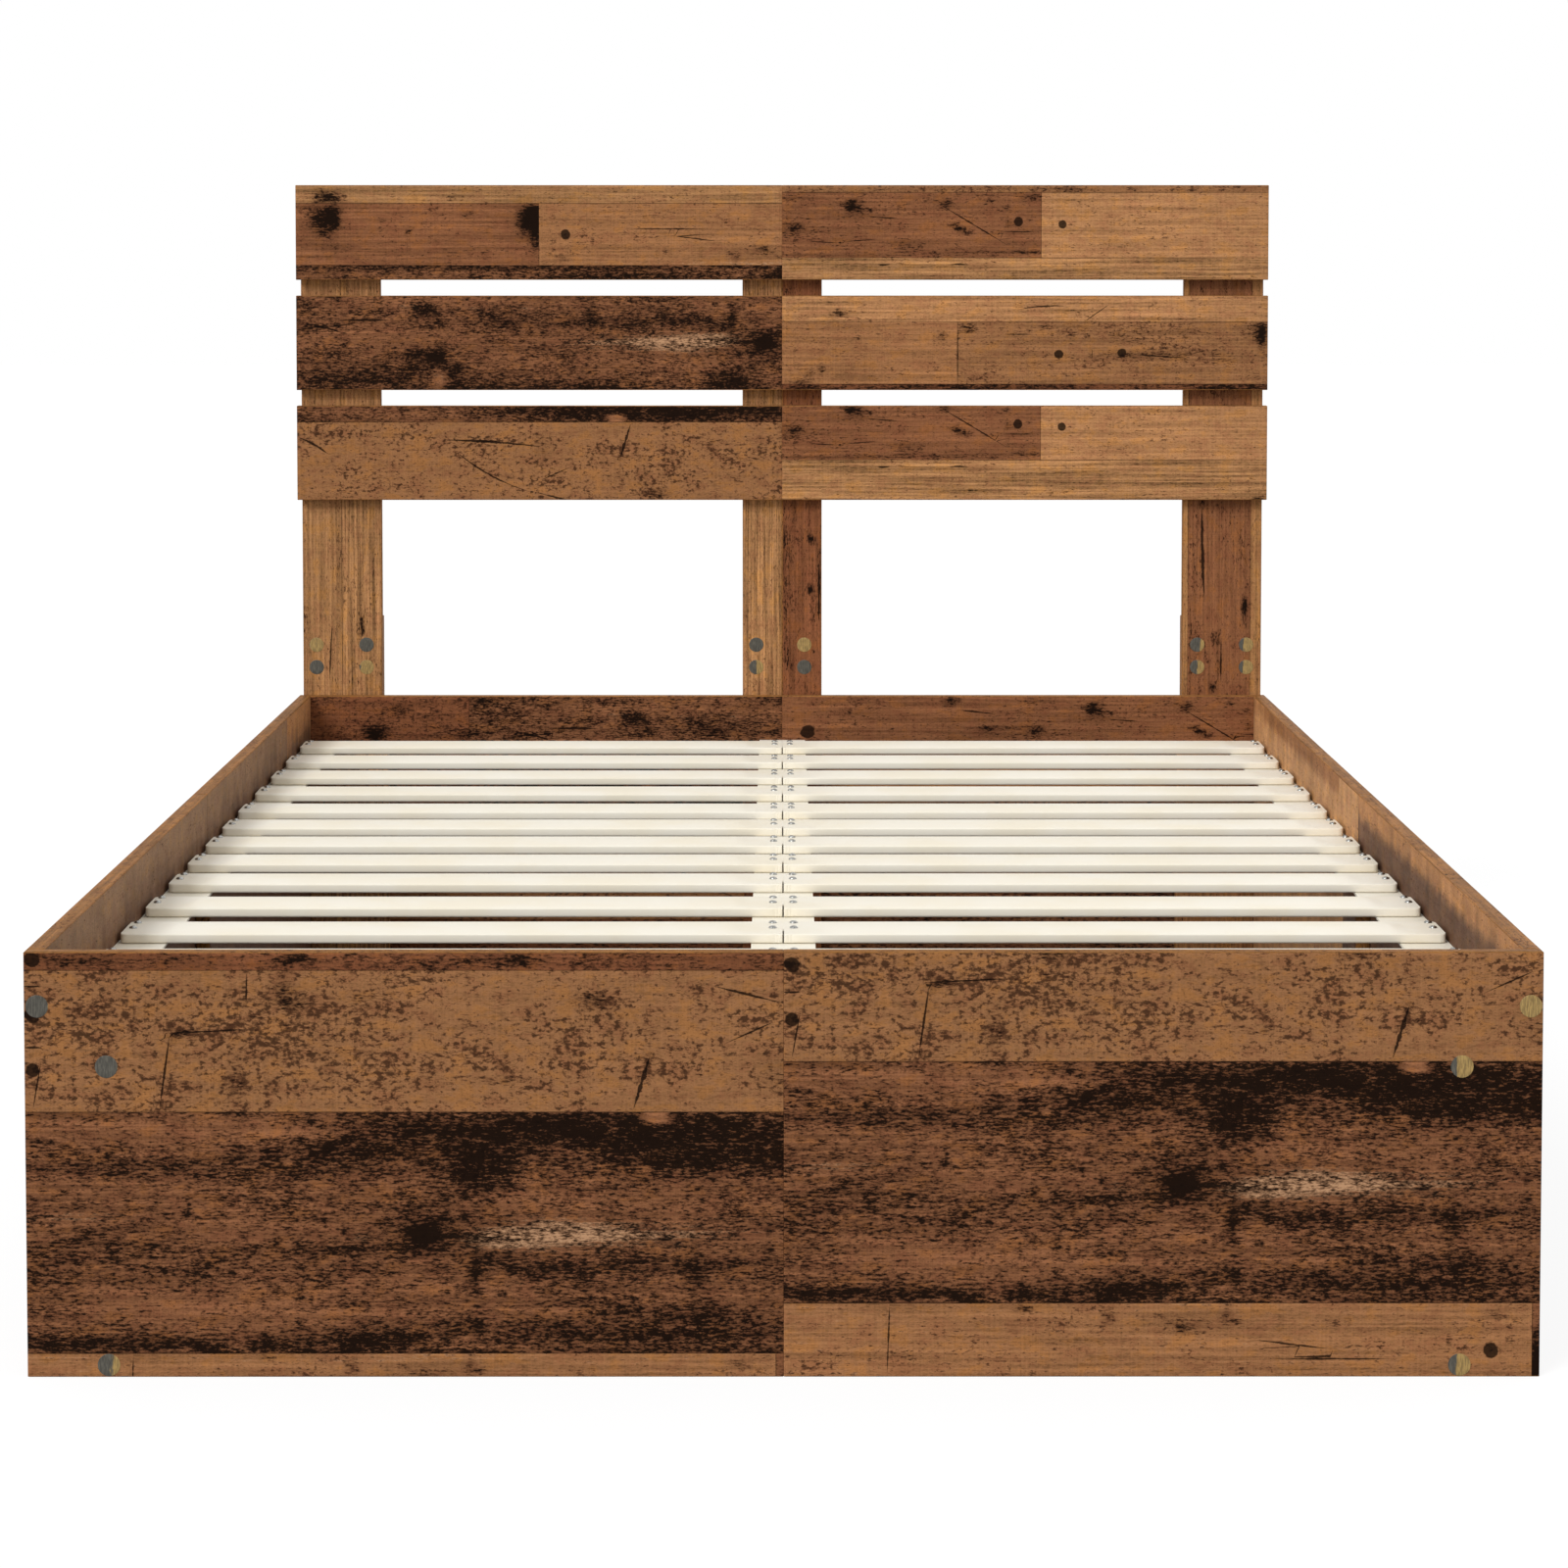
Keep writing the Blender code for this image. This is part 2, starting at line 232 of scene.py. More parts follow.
# Soft marks of a sheet: along, across, half length and half height in mm, then strength in percent of full.
# A mark with a strength below 0 clears. The first table is soot.
SOOT = {
    "A": (
        (211, 317, 10, 13, 75), (224, 306, 12, 8, 50), (274, 310, 30, 13, 22), (460, 312, 18, 5, 58),
        (472, 306, 9, 5, 45), (171, 245, 9, 19, 45), (130, 284, 16, 4, 66), (121, 278, 6, 4, 50),
        (390, 245, 40, 3, 30), (508, 262, 4, 6, 55), (512, 252, 7, 2, 60), (545, 318, 10, 4, 35),
        (360, 291, 9, 3, 50), (393, 253, 4, 13, 32), (509, 286, 7, 3, 50), (610, 250, 10, 18, 40),
        (60, 300, 40, 20, 16), (240, 270, 60, 10, 12), (425, 203, 165, 18, 46), (570, 197, 110, 20, 40),
        (370, 170, 30, 22, 36), (268, 187, 45, 10, 20), (100, 206, 120, 11, -26),
        (514, 214.5, 11, 6, -140), (205, 203, 40, 10, -30), (80, 173, 120, 8, 20),
        (150, 150, 200, 10, -15), (323, 118, 13, 10, 75), (345, 118, 30, 5, 35), (366, 90, 6, 15, 60),
        (50, 108, 50, 13, 30), (220, 105, 90, 5, 30), (135, 83, 20, 10, 28), (100, 60, 100, 12, -22),
        (420, 75, 120, 9, -18), (500, 96, 20, 5, 40), (545, 86, 12, 13, 50), (560, 50, 40, 11, 42),
        (360, 45, 20, 7, 40), (290, 32, 50, 9, 62), (440, 35, 60, 6, 35), (50, 28, 90, 4, 50),
        (530, 33, 70, 9, 35), (170, 45, 120, 9, -20), (600, 21.5, 900, 3, 32), (220, 344.5, 18, 4, 70),
        (399, 343, 18, 4, 70), (363, 342, 10, 3, 50), (50, 343, 30, 4, 40), (130, 343, 30, 4, 40),
        (195, 14, 8, 2, 80), (265, 9, 4, 6, 70), (326, -2, 8, 4, 70), (360, 10, 4, 6, 60),
        (372, 5, 10, 3, 50), (447, 4, 20, 3, 40), (582, 10, 12, 4, 60), (330, 6, 30, 8, 34),
        (884, -38, 19, 20, 120), (871, -42, 7, 15, 80), (880, -66, 18, 8, 120), (627, -32, 14, 18, 120),
        (616, -30, 6, 30, 110), (620, -47, 16, 8, 90), (778, -24, 6, 3, 80), (811, -38, 6, 3, 60),
        (700, -47, 8, 4, 60), (868, -1, 22, 7, 40), (710, -66, 20, 4, 35), (740, 5, 100, 6, 15),
        (753.5, 75.6, 13, 10, 60), (741, 94, 14, 5, 45), (741, 137, 11, 11, 70), (765, 132, 28, 5, 35),
        (721, 155, 12, 14, 45), (840, 163, 90, 11, 32), (700, 178, 300, 10, 25), (737, 163, 12, 10, -60),
        (780, 112, 120, 14, -22), (690, 66, 200, 8, -20), (570, 94, 34, 5, 30), (420, 90, 30, 7, 35),
        (1087, 95.5, 15, 11, 100), (953, 58, 12, 8, 40), (1057, 66, 10, 6, 55), (981, 98, 20, 5, 45),
        (900, 100, 30, 4, 40),
    ),
    "B": (
        (88, 94.4, 11, 8, 100), (102, 88, 18, 8, 30), (208.5, 95.7, 9, 7, 80), (190, 100, 12, 3, 40),
        (288, 72, 5, 7, 45), (262, 99.5, 6, 3, 60), (285, 92, 6, 4, 45), (15.3, 66.5, 9, 5, 95),
        (162, 42, 20, 9, 38), (250, 34, 60, 3, 50), (310, 36, 30, 3, 50), (120, 32, 100, 2, 40),
        (20, 104, 30, 4, 35), (220, 107, 80, 2, 50), (320, 105, 12, 3, 60), (-92, 103, 10, 6, 70),
        (-48, 68, 12, 4, 65), (-20, 70, 30, 3, 40), (-200, 100, 30, 12, 20), (-20, 58, 80, 3, 45),
        (412, 55, 16, 15, 16), (425, 37, 20, 3, 26), (549, 83, 8, 1.5, 40), (607, -21.5, 8, 3, 120),
        (445, 114.3, 10, 3, 60), (150, 114.5, 150, 4, 22), (360, 114.5, 20, 4, 45),
        (355, -12, 20, 1.5, 35), (217, 68.5, 6, 2.5, 90), (226, 64.5, 7, 3, 100), (235, 60.5, 6, 2.5, 90),
    ),
    "C": (
        (73.5, 97.6, 11, 4, 60), (76, 97.6, 22, 8, 16), (472, 112, 8, 3, 40), (203, 66, 9, 9, 48),
        (235, 78, 10, 7, 55), (220, 60, 20, 3, 28), (333, 81.2, 6, 3, 70), (375, 75, 20, 8, 20),
        (430, 67, 30, 5, 25), (466, 44, 50, 5, 40), (520, 75, 20, 9, 26), (610, 70, 6, 18, 100),
        (600, 75, 16, 12, 36), (555, 45, 30, 11, 22), (35, 20, 6, 5, 60), (50, 25, 5, 5, 55),
        (80, 18, 14, 4, 48), (110, 16, 10, 4, 40), (22, 10, 20, 3, 80), (95, 64, 8, 1.5, 50),
        (330, 30, 30, 4, 25), (30, 4, 20, 3, 60),
    ),
    "posts": (
        (437, 3, 38, 4, 60), (420.5, 18, 10, 5, 30), (540, 47, 60, 2.2, 50), (438.5, 74.1, 11, 3, 120),
        (480, 72, 40, 1.5, 30), (550.4, 336.9, 6, 4, 120), (485.5, 336, 7, 4, 120), (520, 348, 60, 3, 50),
        (550, 305, 50, 7, 34), (450, 304, 100, 5, 26), (395, 308, 20, 7, 36), (465.4, 580.4, 10, 3.5, 110),
        (448, 579.5, 20, 3, 50), (420.5, 542.3, 8, 4, 90), (400, 544.5, 30, 2, 50), (360, 539, 6, 4, 110),
        (600, 526, 10, 4, 60), (590, 550, 12, 20, 30), (390, 512, 60, 3, 30),
    ),
    "rail_left": (
        (-408, 322, 11, 9, 34), (197, 311, 14, 12, 42), (-960, 338, 100, 30, 22), (-725, 332, 16, 8, 18),
        (-830, 325, 16, 10, 18), (580, 322, 24, 10, 20), (-130, 306, 200, 10, 16), (900, 306, 120, 12, 30),
        (480, 335, 12, 12, -14),
    ),
    "rail_right": (
        (-660, 318, 30, 8, 20), (-162, 306, 30, 12, 24), (-40, 318, 16, 20, -40), (-880, 312, 40, 10, 12),
        (-480, 322, 30, 7, 16), (700, 342, 60, 8, 20), (420, 338, 40, 8, 18), (-300, 340, 40, 10, 14),
        (-640, 340, 60, 10, -12),
    ),
}
# Bare, pale streaks, written the same way.
PALE = {
    "A": (
        (425, 120, 60, 13, 86), (520, 117, 80, 9, 66), (385, 112, 34, 6, 66), (272, 116, 12, 4, 50),
        (50, 132, 50, 5, 50), (140, 140, 50, 3, 35), (470, 90, 50, 3, 30), (570, 82, 30, 3, 35),
        (440, 57, 50, 3, 20), (310, 23, 10, 2, 70), (255, 212.5, 6, 3, 60), (300, 17, 300, 1.5, 45),
        (778, 72.6, 18, 4, 50), (690, 74.5, 35, 4, 55), (627, 76, 12, 4, 70), (400, 74, 30, 3, 35),
        (737, 160, 10, 8, 40), (815, 106, 16, 2, 45),
    ),
}
# Places with more pits.
PITTED = {
    "A": (
        (120, 285, 200, 60, 90), (230, 250, 100, 30, 50), (440, 250, 40, 30, 25), (460, 290, 60, 25, 45),
        (600, 270, 30, 60, 40), (670, 243, 70, 10, 90), (880, 235, 40, 20, 50), (790, 232, 60, 18, 50),
        (455, 300, 50, 16, 40),
    ),
    "C": (
        (520, 60, 100, 40, 25),
    ),
}
# Scratches: the middle's place, half length and width in mm, turn in degrees, and bow in mm.
SCRATCHES = {
    "A": (
        (114, 252, 32, 1, 82, 0), (149, 285, 33, 0.9, 3, 0), (181, 321, 12, 0.8, 88, 0),
        (502, 243, 23, 1.8, 73, 0), (589, 315, 30, 0.9, -14, 0), (590, 284, 22, 0.8, 24, 0),
        (414, -14.5, 31, 0.8, -7, 0), (446, -26.7, 51, 0.8, 0, 0), (832.5, 88.9, 31, 1.8, 0, 0),
        (880, 99.5, 17, 1.6, -12, 2), (660, 98, 17, 1, 0, 0), (10, 240, 18, 0.8, 80, 0),
        (674, 286.4, 54, 1.1, -28.8, -5.6), (672, 244, 66, 1.6, -4, 2), (899, 247, 22, 1.6, -29, 2),
        (85.5, -10, 28, 0.8, 88, 0),
    ),
    "B": (
        (240, 71.7, 52, 0.9, -31, 0), (128, 79, 22, 1.1, -4, 0), (129, 19.5, 8.5, 1.4, 0, 0),
        (225, 19.5, 12.5, 1.4, 0, 0), (100, 50, 20, 0.9, 5, 0), (300, 61, 22, 0.8, 0, 0),
        (52, 48, 18, 0.8, -3, 0), (-60, 90, 24, 1, -6, 0),
    ),
    "C": (
        (331, 106.5, 31, 0.9, 4, -2), (223.1, 47, 39, 0.7, 90, 0), (400, 98, 20, 0.7, 35, 0),
        (480, 43, 34, 1, -4, 0), (300, 71, 18, 0.9, 0, 0),
    ),
    "posts": (
        (404, 35.2, 38, 1.2, 3, 0), (533, 525.5, 62, 2, -2, 1), (395, 550, 28, 1.2, 0, 0),
        (480, 347, 40, 1.4, 0, 0),
    ),
}
# Printed nail heads: place and radius in mm.
NAILS = {
    "A": (
        (577.5, -20, 6.2), (6.5, 253.2, 6), (6.8, 298, 6.6), (6.8, 344, 6.2),
    ),
    "B": (
        (300, 73.6, 5.8), (356, 70.7, 5.5), (-275.8, 64.5, 9),
    ),
    "C": (
        (351.8, 45.7, 5.8), (432, 46.5, 5.8),
    ),
}
# Clouds that vary the shares of soot, pale streaks and pits: how many fit in a metre along and across, the
# seed, then the strength on smoky planks and on the others.
SHARE_CLOUDS = ((9, 34, 5, 0.42, 0.12), (7, 60, 17, 0.35, 0.10), (16, 22, 29, 0.50, 0.50))
SMOKY_FROM = 0.3
# A cloud's octaves, each this much finer and half as high.
OCTAVES, FINER = 3, 2.03
# The cloud that makes the rails' blends uneven: how many fit in a metre along and across, then its strength.
BLEND_ALONG, BLEND_ACROSS, BLEND_UNEVEN = 45, 8, 3
BLEND_SEED, SMEAR_SEED = 41, 43
# In metres: farther than any joint or mark, how far from its seam a board may end, and how far scratches are
# looked for.
FAR_AWAY, SEAM_REACH, SCRATCH_REACH = 9.0, 0.001, 0.02
# Across, along and width where no scratch is near.
NO_SCRATCH = (FAR_AWAY, FAR_AWAY, 0.001)
# How many half widths a soft mark reaches.
MARK_REACH = 2.6
# A plank's number is its strip times this, plus its place in the strip.
STRIP_STEP = 10


def hashed(column, row, seed):
    """A fixed value from 0 to 1 for each whole lattice point."""
    n = (column * 374761393 + row * 668265263 + seed * 69069) & 0xFFFFFFFF
    n = ((n ^ (n >> 13)) * 1274126177) & 0xFFFFFFFF
    return ((n ^ (n >> 16)) & 0xFFFF) / 0xFFFF


def cloud(u, v, seed):
    """Value noise, 0 to 1: hashed lattice values blended by smooth steps. Each octave has half the height."""
    total, height, whole = 0.0, 1.0, 0.0
    for octave in range(OCTAVES):
        column, row = np.floor(u).astype(np.int64), np.floor(v).astype(np.int64)
        s, t = u - column, v - row
        s, t = s * s * (3 - 2 * s), t * t * (3 - 2 * t)
        key = seed + octave
        low = hashed(column, row, key) * (1 - s) + hashed(column + 1, row, key) * s
        high = hashed(column, row + 1, key) * (1 - s) + hashed(column + 1, row + 1, key) * s
        total = total + height * (low * (1 - t) + high * t)
        whole += height
        u, v, height = u * FINER, v * FINER, height * 0.5
    return total / whole


def plank_joints(sheet):
    """The sheet's joints in metres: those between strips, then (strip, place) of those within a strip."""
    tops, strips = zip(*PRINTS[sheet])
    within = [(number, plank[0] / 1000) for number, planks in enumerate(strips) for plank in planks[:-1]]
    return np.array(tops[:-1]) / 1000, within


def plank_of(sheet, u, v):
    """The number of the plank under each point."""
    between, within = plank_joints(sheet)
    strip = np.searchsorted(between, v)
    return strip * STRIP_STEP + sum((strip == number) & (u > end) for number, end in within)


def soft_marks(sheet, table, plank, u, v):
    """The sum of bell-shaped marks, exp(-(du/a)^2 - (dv/b)^2), each kept to the plank of its middle."""
    total = np.zeros_like(u)
    for *sizes, strength in table.get(sheet, ()):
        mark_u, mark_v, half_u, half_v = np.array(sizes) / 1000
        reach = np.maximum(abs(u - mark_u) / half_u, abs(v - mark_v) / half_v)
        near = (plank == plank_of(sheet, mark_u, mark_v)) & (reach < MARK_REACH)
        bell = np.exp(-(((u[near] - mark_u) / half_u) ** 2 + ((v[near] - mark_v) / half_v) ** 2))
        total[near] += strength / 100 * bell
    return total


def nearest_scratch(sheet, u, v):
    """Across and along the nearest scratch, in metres and in half lengths, and its width.

    A bow moves the scratch across by bow * along^2.
    """
    found = np.tile(NO_SCRATCH, (len(u), 1))
    best = np.full(len(u), SCRATCH_REACH)
    for *sizes, turn, bow in SCRATCHES.get(sheet, ()):
        mid_u, mid_v, half_length, width = np.array(sizes) / 1000
        cos, sin = math.cos(math.radians(turn)), math.sin(math.radians(turn))
        along = ((u - mid_u) * cos + (v - mid_v) * sin) / half_length
        across = (v - mid_v) * cos - (u - mid_u) * sin - bow / 1000 * along ** 2
        distance = np.hypot(across, np.maximum(abs(along) - 1, 0) * half_length)
        closer = distance < best
        best[closer] = distance[closer]
        found[closer] = np.stack((across, along, np.full(len(u), width)), 1)[closer]
    return found


def nearest_nail(sheet, u, v):
    """The offset from the nearest printed nail head, in its radii."""
    found = np.full((len(u), 3), FAR_AWAY)
    for nail in NAILS.get(sheet, ()):
        nail_u, nail_v, radius = np.array(nail) / 1000
        offset = np.stack((u - nail_u, v - nail_v, np.zeros(len(u))), 1) / radius
        closer = np.linalg.norm(offset, axis=1) < np.linalg.norm(found, axis=1)
        found[closer] = offset[closer]
    return found


def plank_finish(sheet, plank):
    """The tone of each point's plank, then its shares of soot, bare streaks and pits, and its grain."""
    finish = np.zeros((len(plank), 7))
    for number, (_, planks) in enumerate(PRINTS[sheet]):
        for place, (_, tone_name, *shares) in enumerate(planks):
            here = plank == number * STRIP_STEP + place
            finish[here] = (*getattr(look().decor, tone_name), *np.array(shares) / 100)
    return finish


def smeared_finish(sheet, plank, u, v, mid_u):
    """The finish averaged over the blend's height, its tone varied by smears and darkened by soft marks."""
    blend, strength, along, across = SMEARED[sheet]
    uneven = v + BLEND_UNEVEN * blend * (cloud(u * BLEND_ALONG, v * BLEND_ACROSS, BLEND_SEED) - 0.5)
    steps = [plank_finish(sheet, plank_of(sheet, mid_u, uneven + blend * k)) for k in (-1, -0.5, 0, 0.5, 1)]
    finish = sum(steps) / len(steps)
    smear = 1 + strength * (cloud(u * along, v * across, SMEAR_SEED) - 0.5)
    finish[:, :3] *= (smear * (1 - soft_marks(sheet, SOOT, plank, u, v)))[:, None]
    return finish


def decor_fields(sheet, u, v, mid_u, mid_v):
    """What the decor's material reads at each corner. Planks are picked by the middle of the corner's face.

    Each share is the plank's own, plus a cloud, plus the soft marks. A smeared sheet's soot is in its tone
    instead. The joint is 1 on a joint's middle line and falls to 0 in half its width.
    """
    plank = plank_of(sheet, mid_u, mid_v)
    smeared = sheet in SMEARED
    finish = smeared_finish(sheet, plank, u, v, mid_u) if smeared else plank_finish(sheet, plank)
    tone, shares, grain = finish[:, :3], finish[:, 3:6], finish[:, 6]
    smoky = shares[:, 0] > SMOKY_FROM
    for column, (along, across, seed, on_smoky, elsewhere) in enumerate(SHARE_CLOUDS):
        strength = np.where(smoky, on_smoky, elsewhere)
        shares[:, column] += (cloud(u * along, v * across, seed) - 0.5) * strength
    for column, table in enumerate((SOOT, PALE, PITTED)):
        if column or not smeared:
            shares[:, column] += soft_marks(sheet, table, plank, u, v)
    between, within = plank_joints(sheet)
    to_joint = np.full(len(v), FAR_AWAY)
    if not smeared:
        for top in between:
            to_joint = np.minimum(to_joint, abs(v - top))
    for number, end in within:
        here = plank // STRIP_STEP == number
        to_joint[here] = np.minimum(to_joint[here], abs(u[here] - end))
    joint = np.clip(1 - to_joint / (look().decor.joint_width / 2), 0, 1)
    return {
        "tone": tone, "shares": shares, "grain": grain[:, None], "joint": joint[:, None],
        "scratch": nearest_scratch(sheet, u, v), "nail": nearest_nail(sheet, u, v),
    }


def add_attribute(mesh, name, values):
    """One number for each face corner, or a vector where the values have three columns."""
    vector = values.shape[1] == 3
    attribute = mesh.attributes.new(name, "FLOAT_VECTOR" if vector else "FLOAT", "CORNER")
    attribute.data.foreach_set("vector" if vector else "value", values.ravel().astype(np.float32))


def add_map(mesh, places):
    """The decor's UV map: one place on the sheet, in metres, for each face corner."""
    mesh.uv_layers.new(name="decor").data.foreach_set("uv", places.ravel().astype(np.float32))


def outward(points, faces):
    """The faces, of 4 corners each, turned so that the volume they close has a sign above 0."""
    a, b, c, d = (points[faces[:, i]] for i in range(4))
    volume = (np.cross(b - a, c - a) * a).sum() + (np.cross(c - a, d - a) * a).sum()
    return faces[:, ::-1] if volume < 0 else faces


def walls(rings, sides):
    """The faces between each closed ring of points and the next."""
    i, j = np.meshgrid(np.arange(rings - 1), np.arange(sides), indexing="ij")
    following = (j + 1) % sides
    corners = (i * sides + j, (i + 1) * sides + j, (i + 1) * sides + following, i * sides + following)
    return np.stack(corners, -1).reshape(-1, 4)


def new_mesh(name, points, faces, sharp):
    """A smooth mesh from arrays of points and faces, creased where faces meet at more than sharp degrees."""
    mesh = bpy.data.meshes.new(name)
    mesh.vertices.add(len(points))
    mesh.vertices.foreach_set("co", points.ravel().astype(np.float32))
    mesh.loops.add(faces.size)
    mesh.loops.foreach_set("vertex_index", faces.ravel().astype(np.int32))
    mesh.polygons.add(len(faces))
    mesh.polygons.foreach_set("loop_start", np.arange(0, faces.size, 4, dtype=np.int32))
    mesh.update(calc_edges=True)
    mesh.shade_smooth()
    mesh.set_sharp_from_angle(angle=math.radians(sharp))
    return mesh


def add_piece(name, mesh, material, slot, *nodes):
    """Links a finished piece that rides on the frame, in the place of these nodes."""
    piece = bpy.data.objects.new(name, mesh)
    bpy.context.scene.collection.objects.link(piece)
    mesh.materials.append(material)
    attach(piece, "root")
    if nodes:
        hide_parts(*nodes)


def ruled_lines(low, high, cell, joints):
    """Grid lines from low to high, a cell apart, with three close lines at each plank joint."""
    width = look().decor.joint_width
    lines = np.linspace(low, high, max(2, int(round((high - low) / cell)) + 1))
    for joint in joints:
        if low + width < joint < high - width:
            lines = lines[abs(lines - joint) > width * 0.75]
            lines = np.append(lines, (joint - width / 2, joint, joint + width / 2))
    return np.unique(np.round(lines, 7))


# The rings at a board's ends, in eases from the end, and the least that is left of the squared ease there.
END_STEPS, LEAST_EASE = (0.0, 0.3), 0.12
# The axes of a board: along its grain, across it, and through its thickness.
ALONG_X, ALONG_Y, ALONG_Z = (0, 2, 1), (1, 2, 0), (2, 0, 1)
BEND = [(math.cos(t), math.sin(t)) for t in np.radians((30, 60, 90))]
FRONT, BACK, LONG_EDGES, ENDS = range(4)
# How far the prints of the edge bands are moved on their sheet, so that they don't repeat one another.
LONG_EDGE_SHIFT, END_SHIFT = 3.0, (5.0, 4.0)
BOARD_SHARP = 40


def board_points(low, high, axes, window, cell, front_high):
    """Rings of points round a board with rounded edges, and how many of a ring lie across its front.

    A ring is the core rectangle's outline plus ease * its outward direction. Along the grain the ease follows
    a quarter circle at both ends: ease * sqrt(1 - ((ease - x) / ease)^2), and at least a third of it is left.
    """
    grain, across, through = axes
    ease = look().decor.ease
    sheet, start_u, start_v, sign = window
    between, within = plank_joints(sheet)
    rows = ruled_lines(low[across] + ease, high[across] - ease, cell, (between - start_v) * sign)
    ends_here = [(end - start_u) * sign for _, end in within]
    inner = ruled_lines(low[grain] + ease, high[grain] - ease, cell, ends_here)
    ends = ease * np.array(END_STEPS)
    stations = np.concatenate((low[grain] + ends, inner, high[grain] - ends[::-1]))
    reach = np.minimum(stations - low[grain], high[grain] - stations)
    radius = ease * np.sqrt(np.clip(1 - ((ease - np.minimum(reach, ease)) / ease) ** 2, LEAST_EASE, 1))
    near, far = low[through] + ease, high[through] - ease
    if front_high:
        near, far = far, near
    out = 1 if front_high else -1

    def half_ring(line, side, other):
        return [(b, side) for b in line] + [(line[-1], side)] * 3 + [(line[-1], other)] * 3

    core = np.array(half_ring(rows, near, far) + half_ring(rows[::-1], far, near))
    turn = [(0, out)] * len(rows) + [(s, out * c) for c, s in BEND] + [(s, -out * c) for c, s in BEND[::-1]]
    turn = np.concatenate((turn, -np.array(turn)))
    section = core[None] + radius[:, None, None] * turn[None]
    points = np.zeros((len(stations), len(core), 3))
    points[:, :, grain] = stations[:, None]
    points[:, :, across] = section[:, :, 0]
    points[:, :, through] = section[:, :, 1]
    return points, len(rows)


def board_faces(rings, count):
    """The faces of a board whose front is count points wide, and the zone of each.

    A cap joins point i of an end ring to point 2 * count + 5 - i, on the other side of the board.
    """
    loop = 2 * count + 12
    sides = walls(rings, loop)
    j = np.arange(len(sides)) % loop
    back = (j >= count + 6) & (j < 2 * count + 5)
    zone = np.where(j < count - 1, FRONT, np.where(back, BACK, LONG_EDGES))
    i = np.arange(-3, count + 2)
    cap = np.stack((i, i + 1, 2 * count + 4 - i, 2 * count + 5 - i), 1) % loop
    caps = np.concatenate((cap, cap[:, ::-1] + (rings - 1) * loop))
    return np.concatenate((sides, caps)), np.concatenate((zone, np.full(len(caps), ENDS)))


def print_decor(mesh, corners, zone, axes, front, back):
    """Writes the UV map and the decor's fields, zone by zone, from the corners of the faces.

    A window is sheet, start along, start across and sign: the place on the sheet is start + sign * place.
    """
    places = corners.reshape(-1, 3)[:, axes]
    middles = np.repeat(corners.mean(1)[:, None], 4, 1).reshape(-1, 3)[:, axes]
    zones = np.repeat(zone, 4)
    uv, fields = np.zeros((len(places), 2)), {}
    for number, (sheet, start_u, start_v, sign) in enumerate((front, back, front, front)):
        here = zones == number
        a, b, t = places[here].T
        mid_a, mid_b = middles[here, :2].T
        u, v = start_u + sign * a, start_v + sign * b
        if number == LONG_EDGES:
            sheet, v = "edge", t + LONG_EDGE_SHIFT + b
        elif number == ENDS:
            sheet, u, v = "edge", b + END_SHIFT[0], t + END_SHIFT[1]
        uv[here] = np.stack((u, v), 1)
        for name, values in decor_fields(sheet, u, v, start_u + sign * mid_a, start_v + sign * mid_b).items():
            fields.setdefault(name, np.zeros((len(places), values.shape[1])))[here] = values
    add_map(mesh, uv)
    for name, values in fields.items():
        add_attribute(mesh, name, values)


def close_seams(low, high):
    """Takes a board's end at a seam to the middle of the seam's gap."""
    rail_seam = (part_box("side_rail_left_front")[1].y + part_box("side_rail_left_rear")[0].y) / 2
    for corner in (low, high):
        for axis, seam in ((0, 0.0), (1, rail_seam)):
            if abs(corner[axis] - seam) < SEAM_REACH:
                corner[axis] = seam


def add_board(node, axes, front, back, coarse=1, front_high=False, setback=0.0):
    """Draws a board again, with windows on the print for its front and back, on cells coarse times as large.

    front_high puts the front at the high side of the thickness. The front stands back by the setback.
    """
    low, high = (np.array(corner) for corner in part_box(node))
    close_seams(low, high)
    low[axes[2]] += setback
    points, count = board_points(low, high, axes, front, look().decor.cell * coarse, front_high)
    faces, zone = board_faces(len(points), count)
    points = points.reshape(-1, 3)
    faces = outward(points, faces)
    mesh = new_mesh(f"{node}_decor", points, faces, BOARD_SHARP)
    print_decor(mesh, points[faces], zone, axes, front, back)
    add_piece(f"{node}_decor", mesh, plank_decor(), WOOD_SLOT, node)


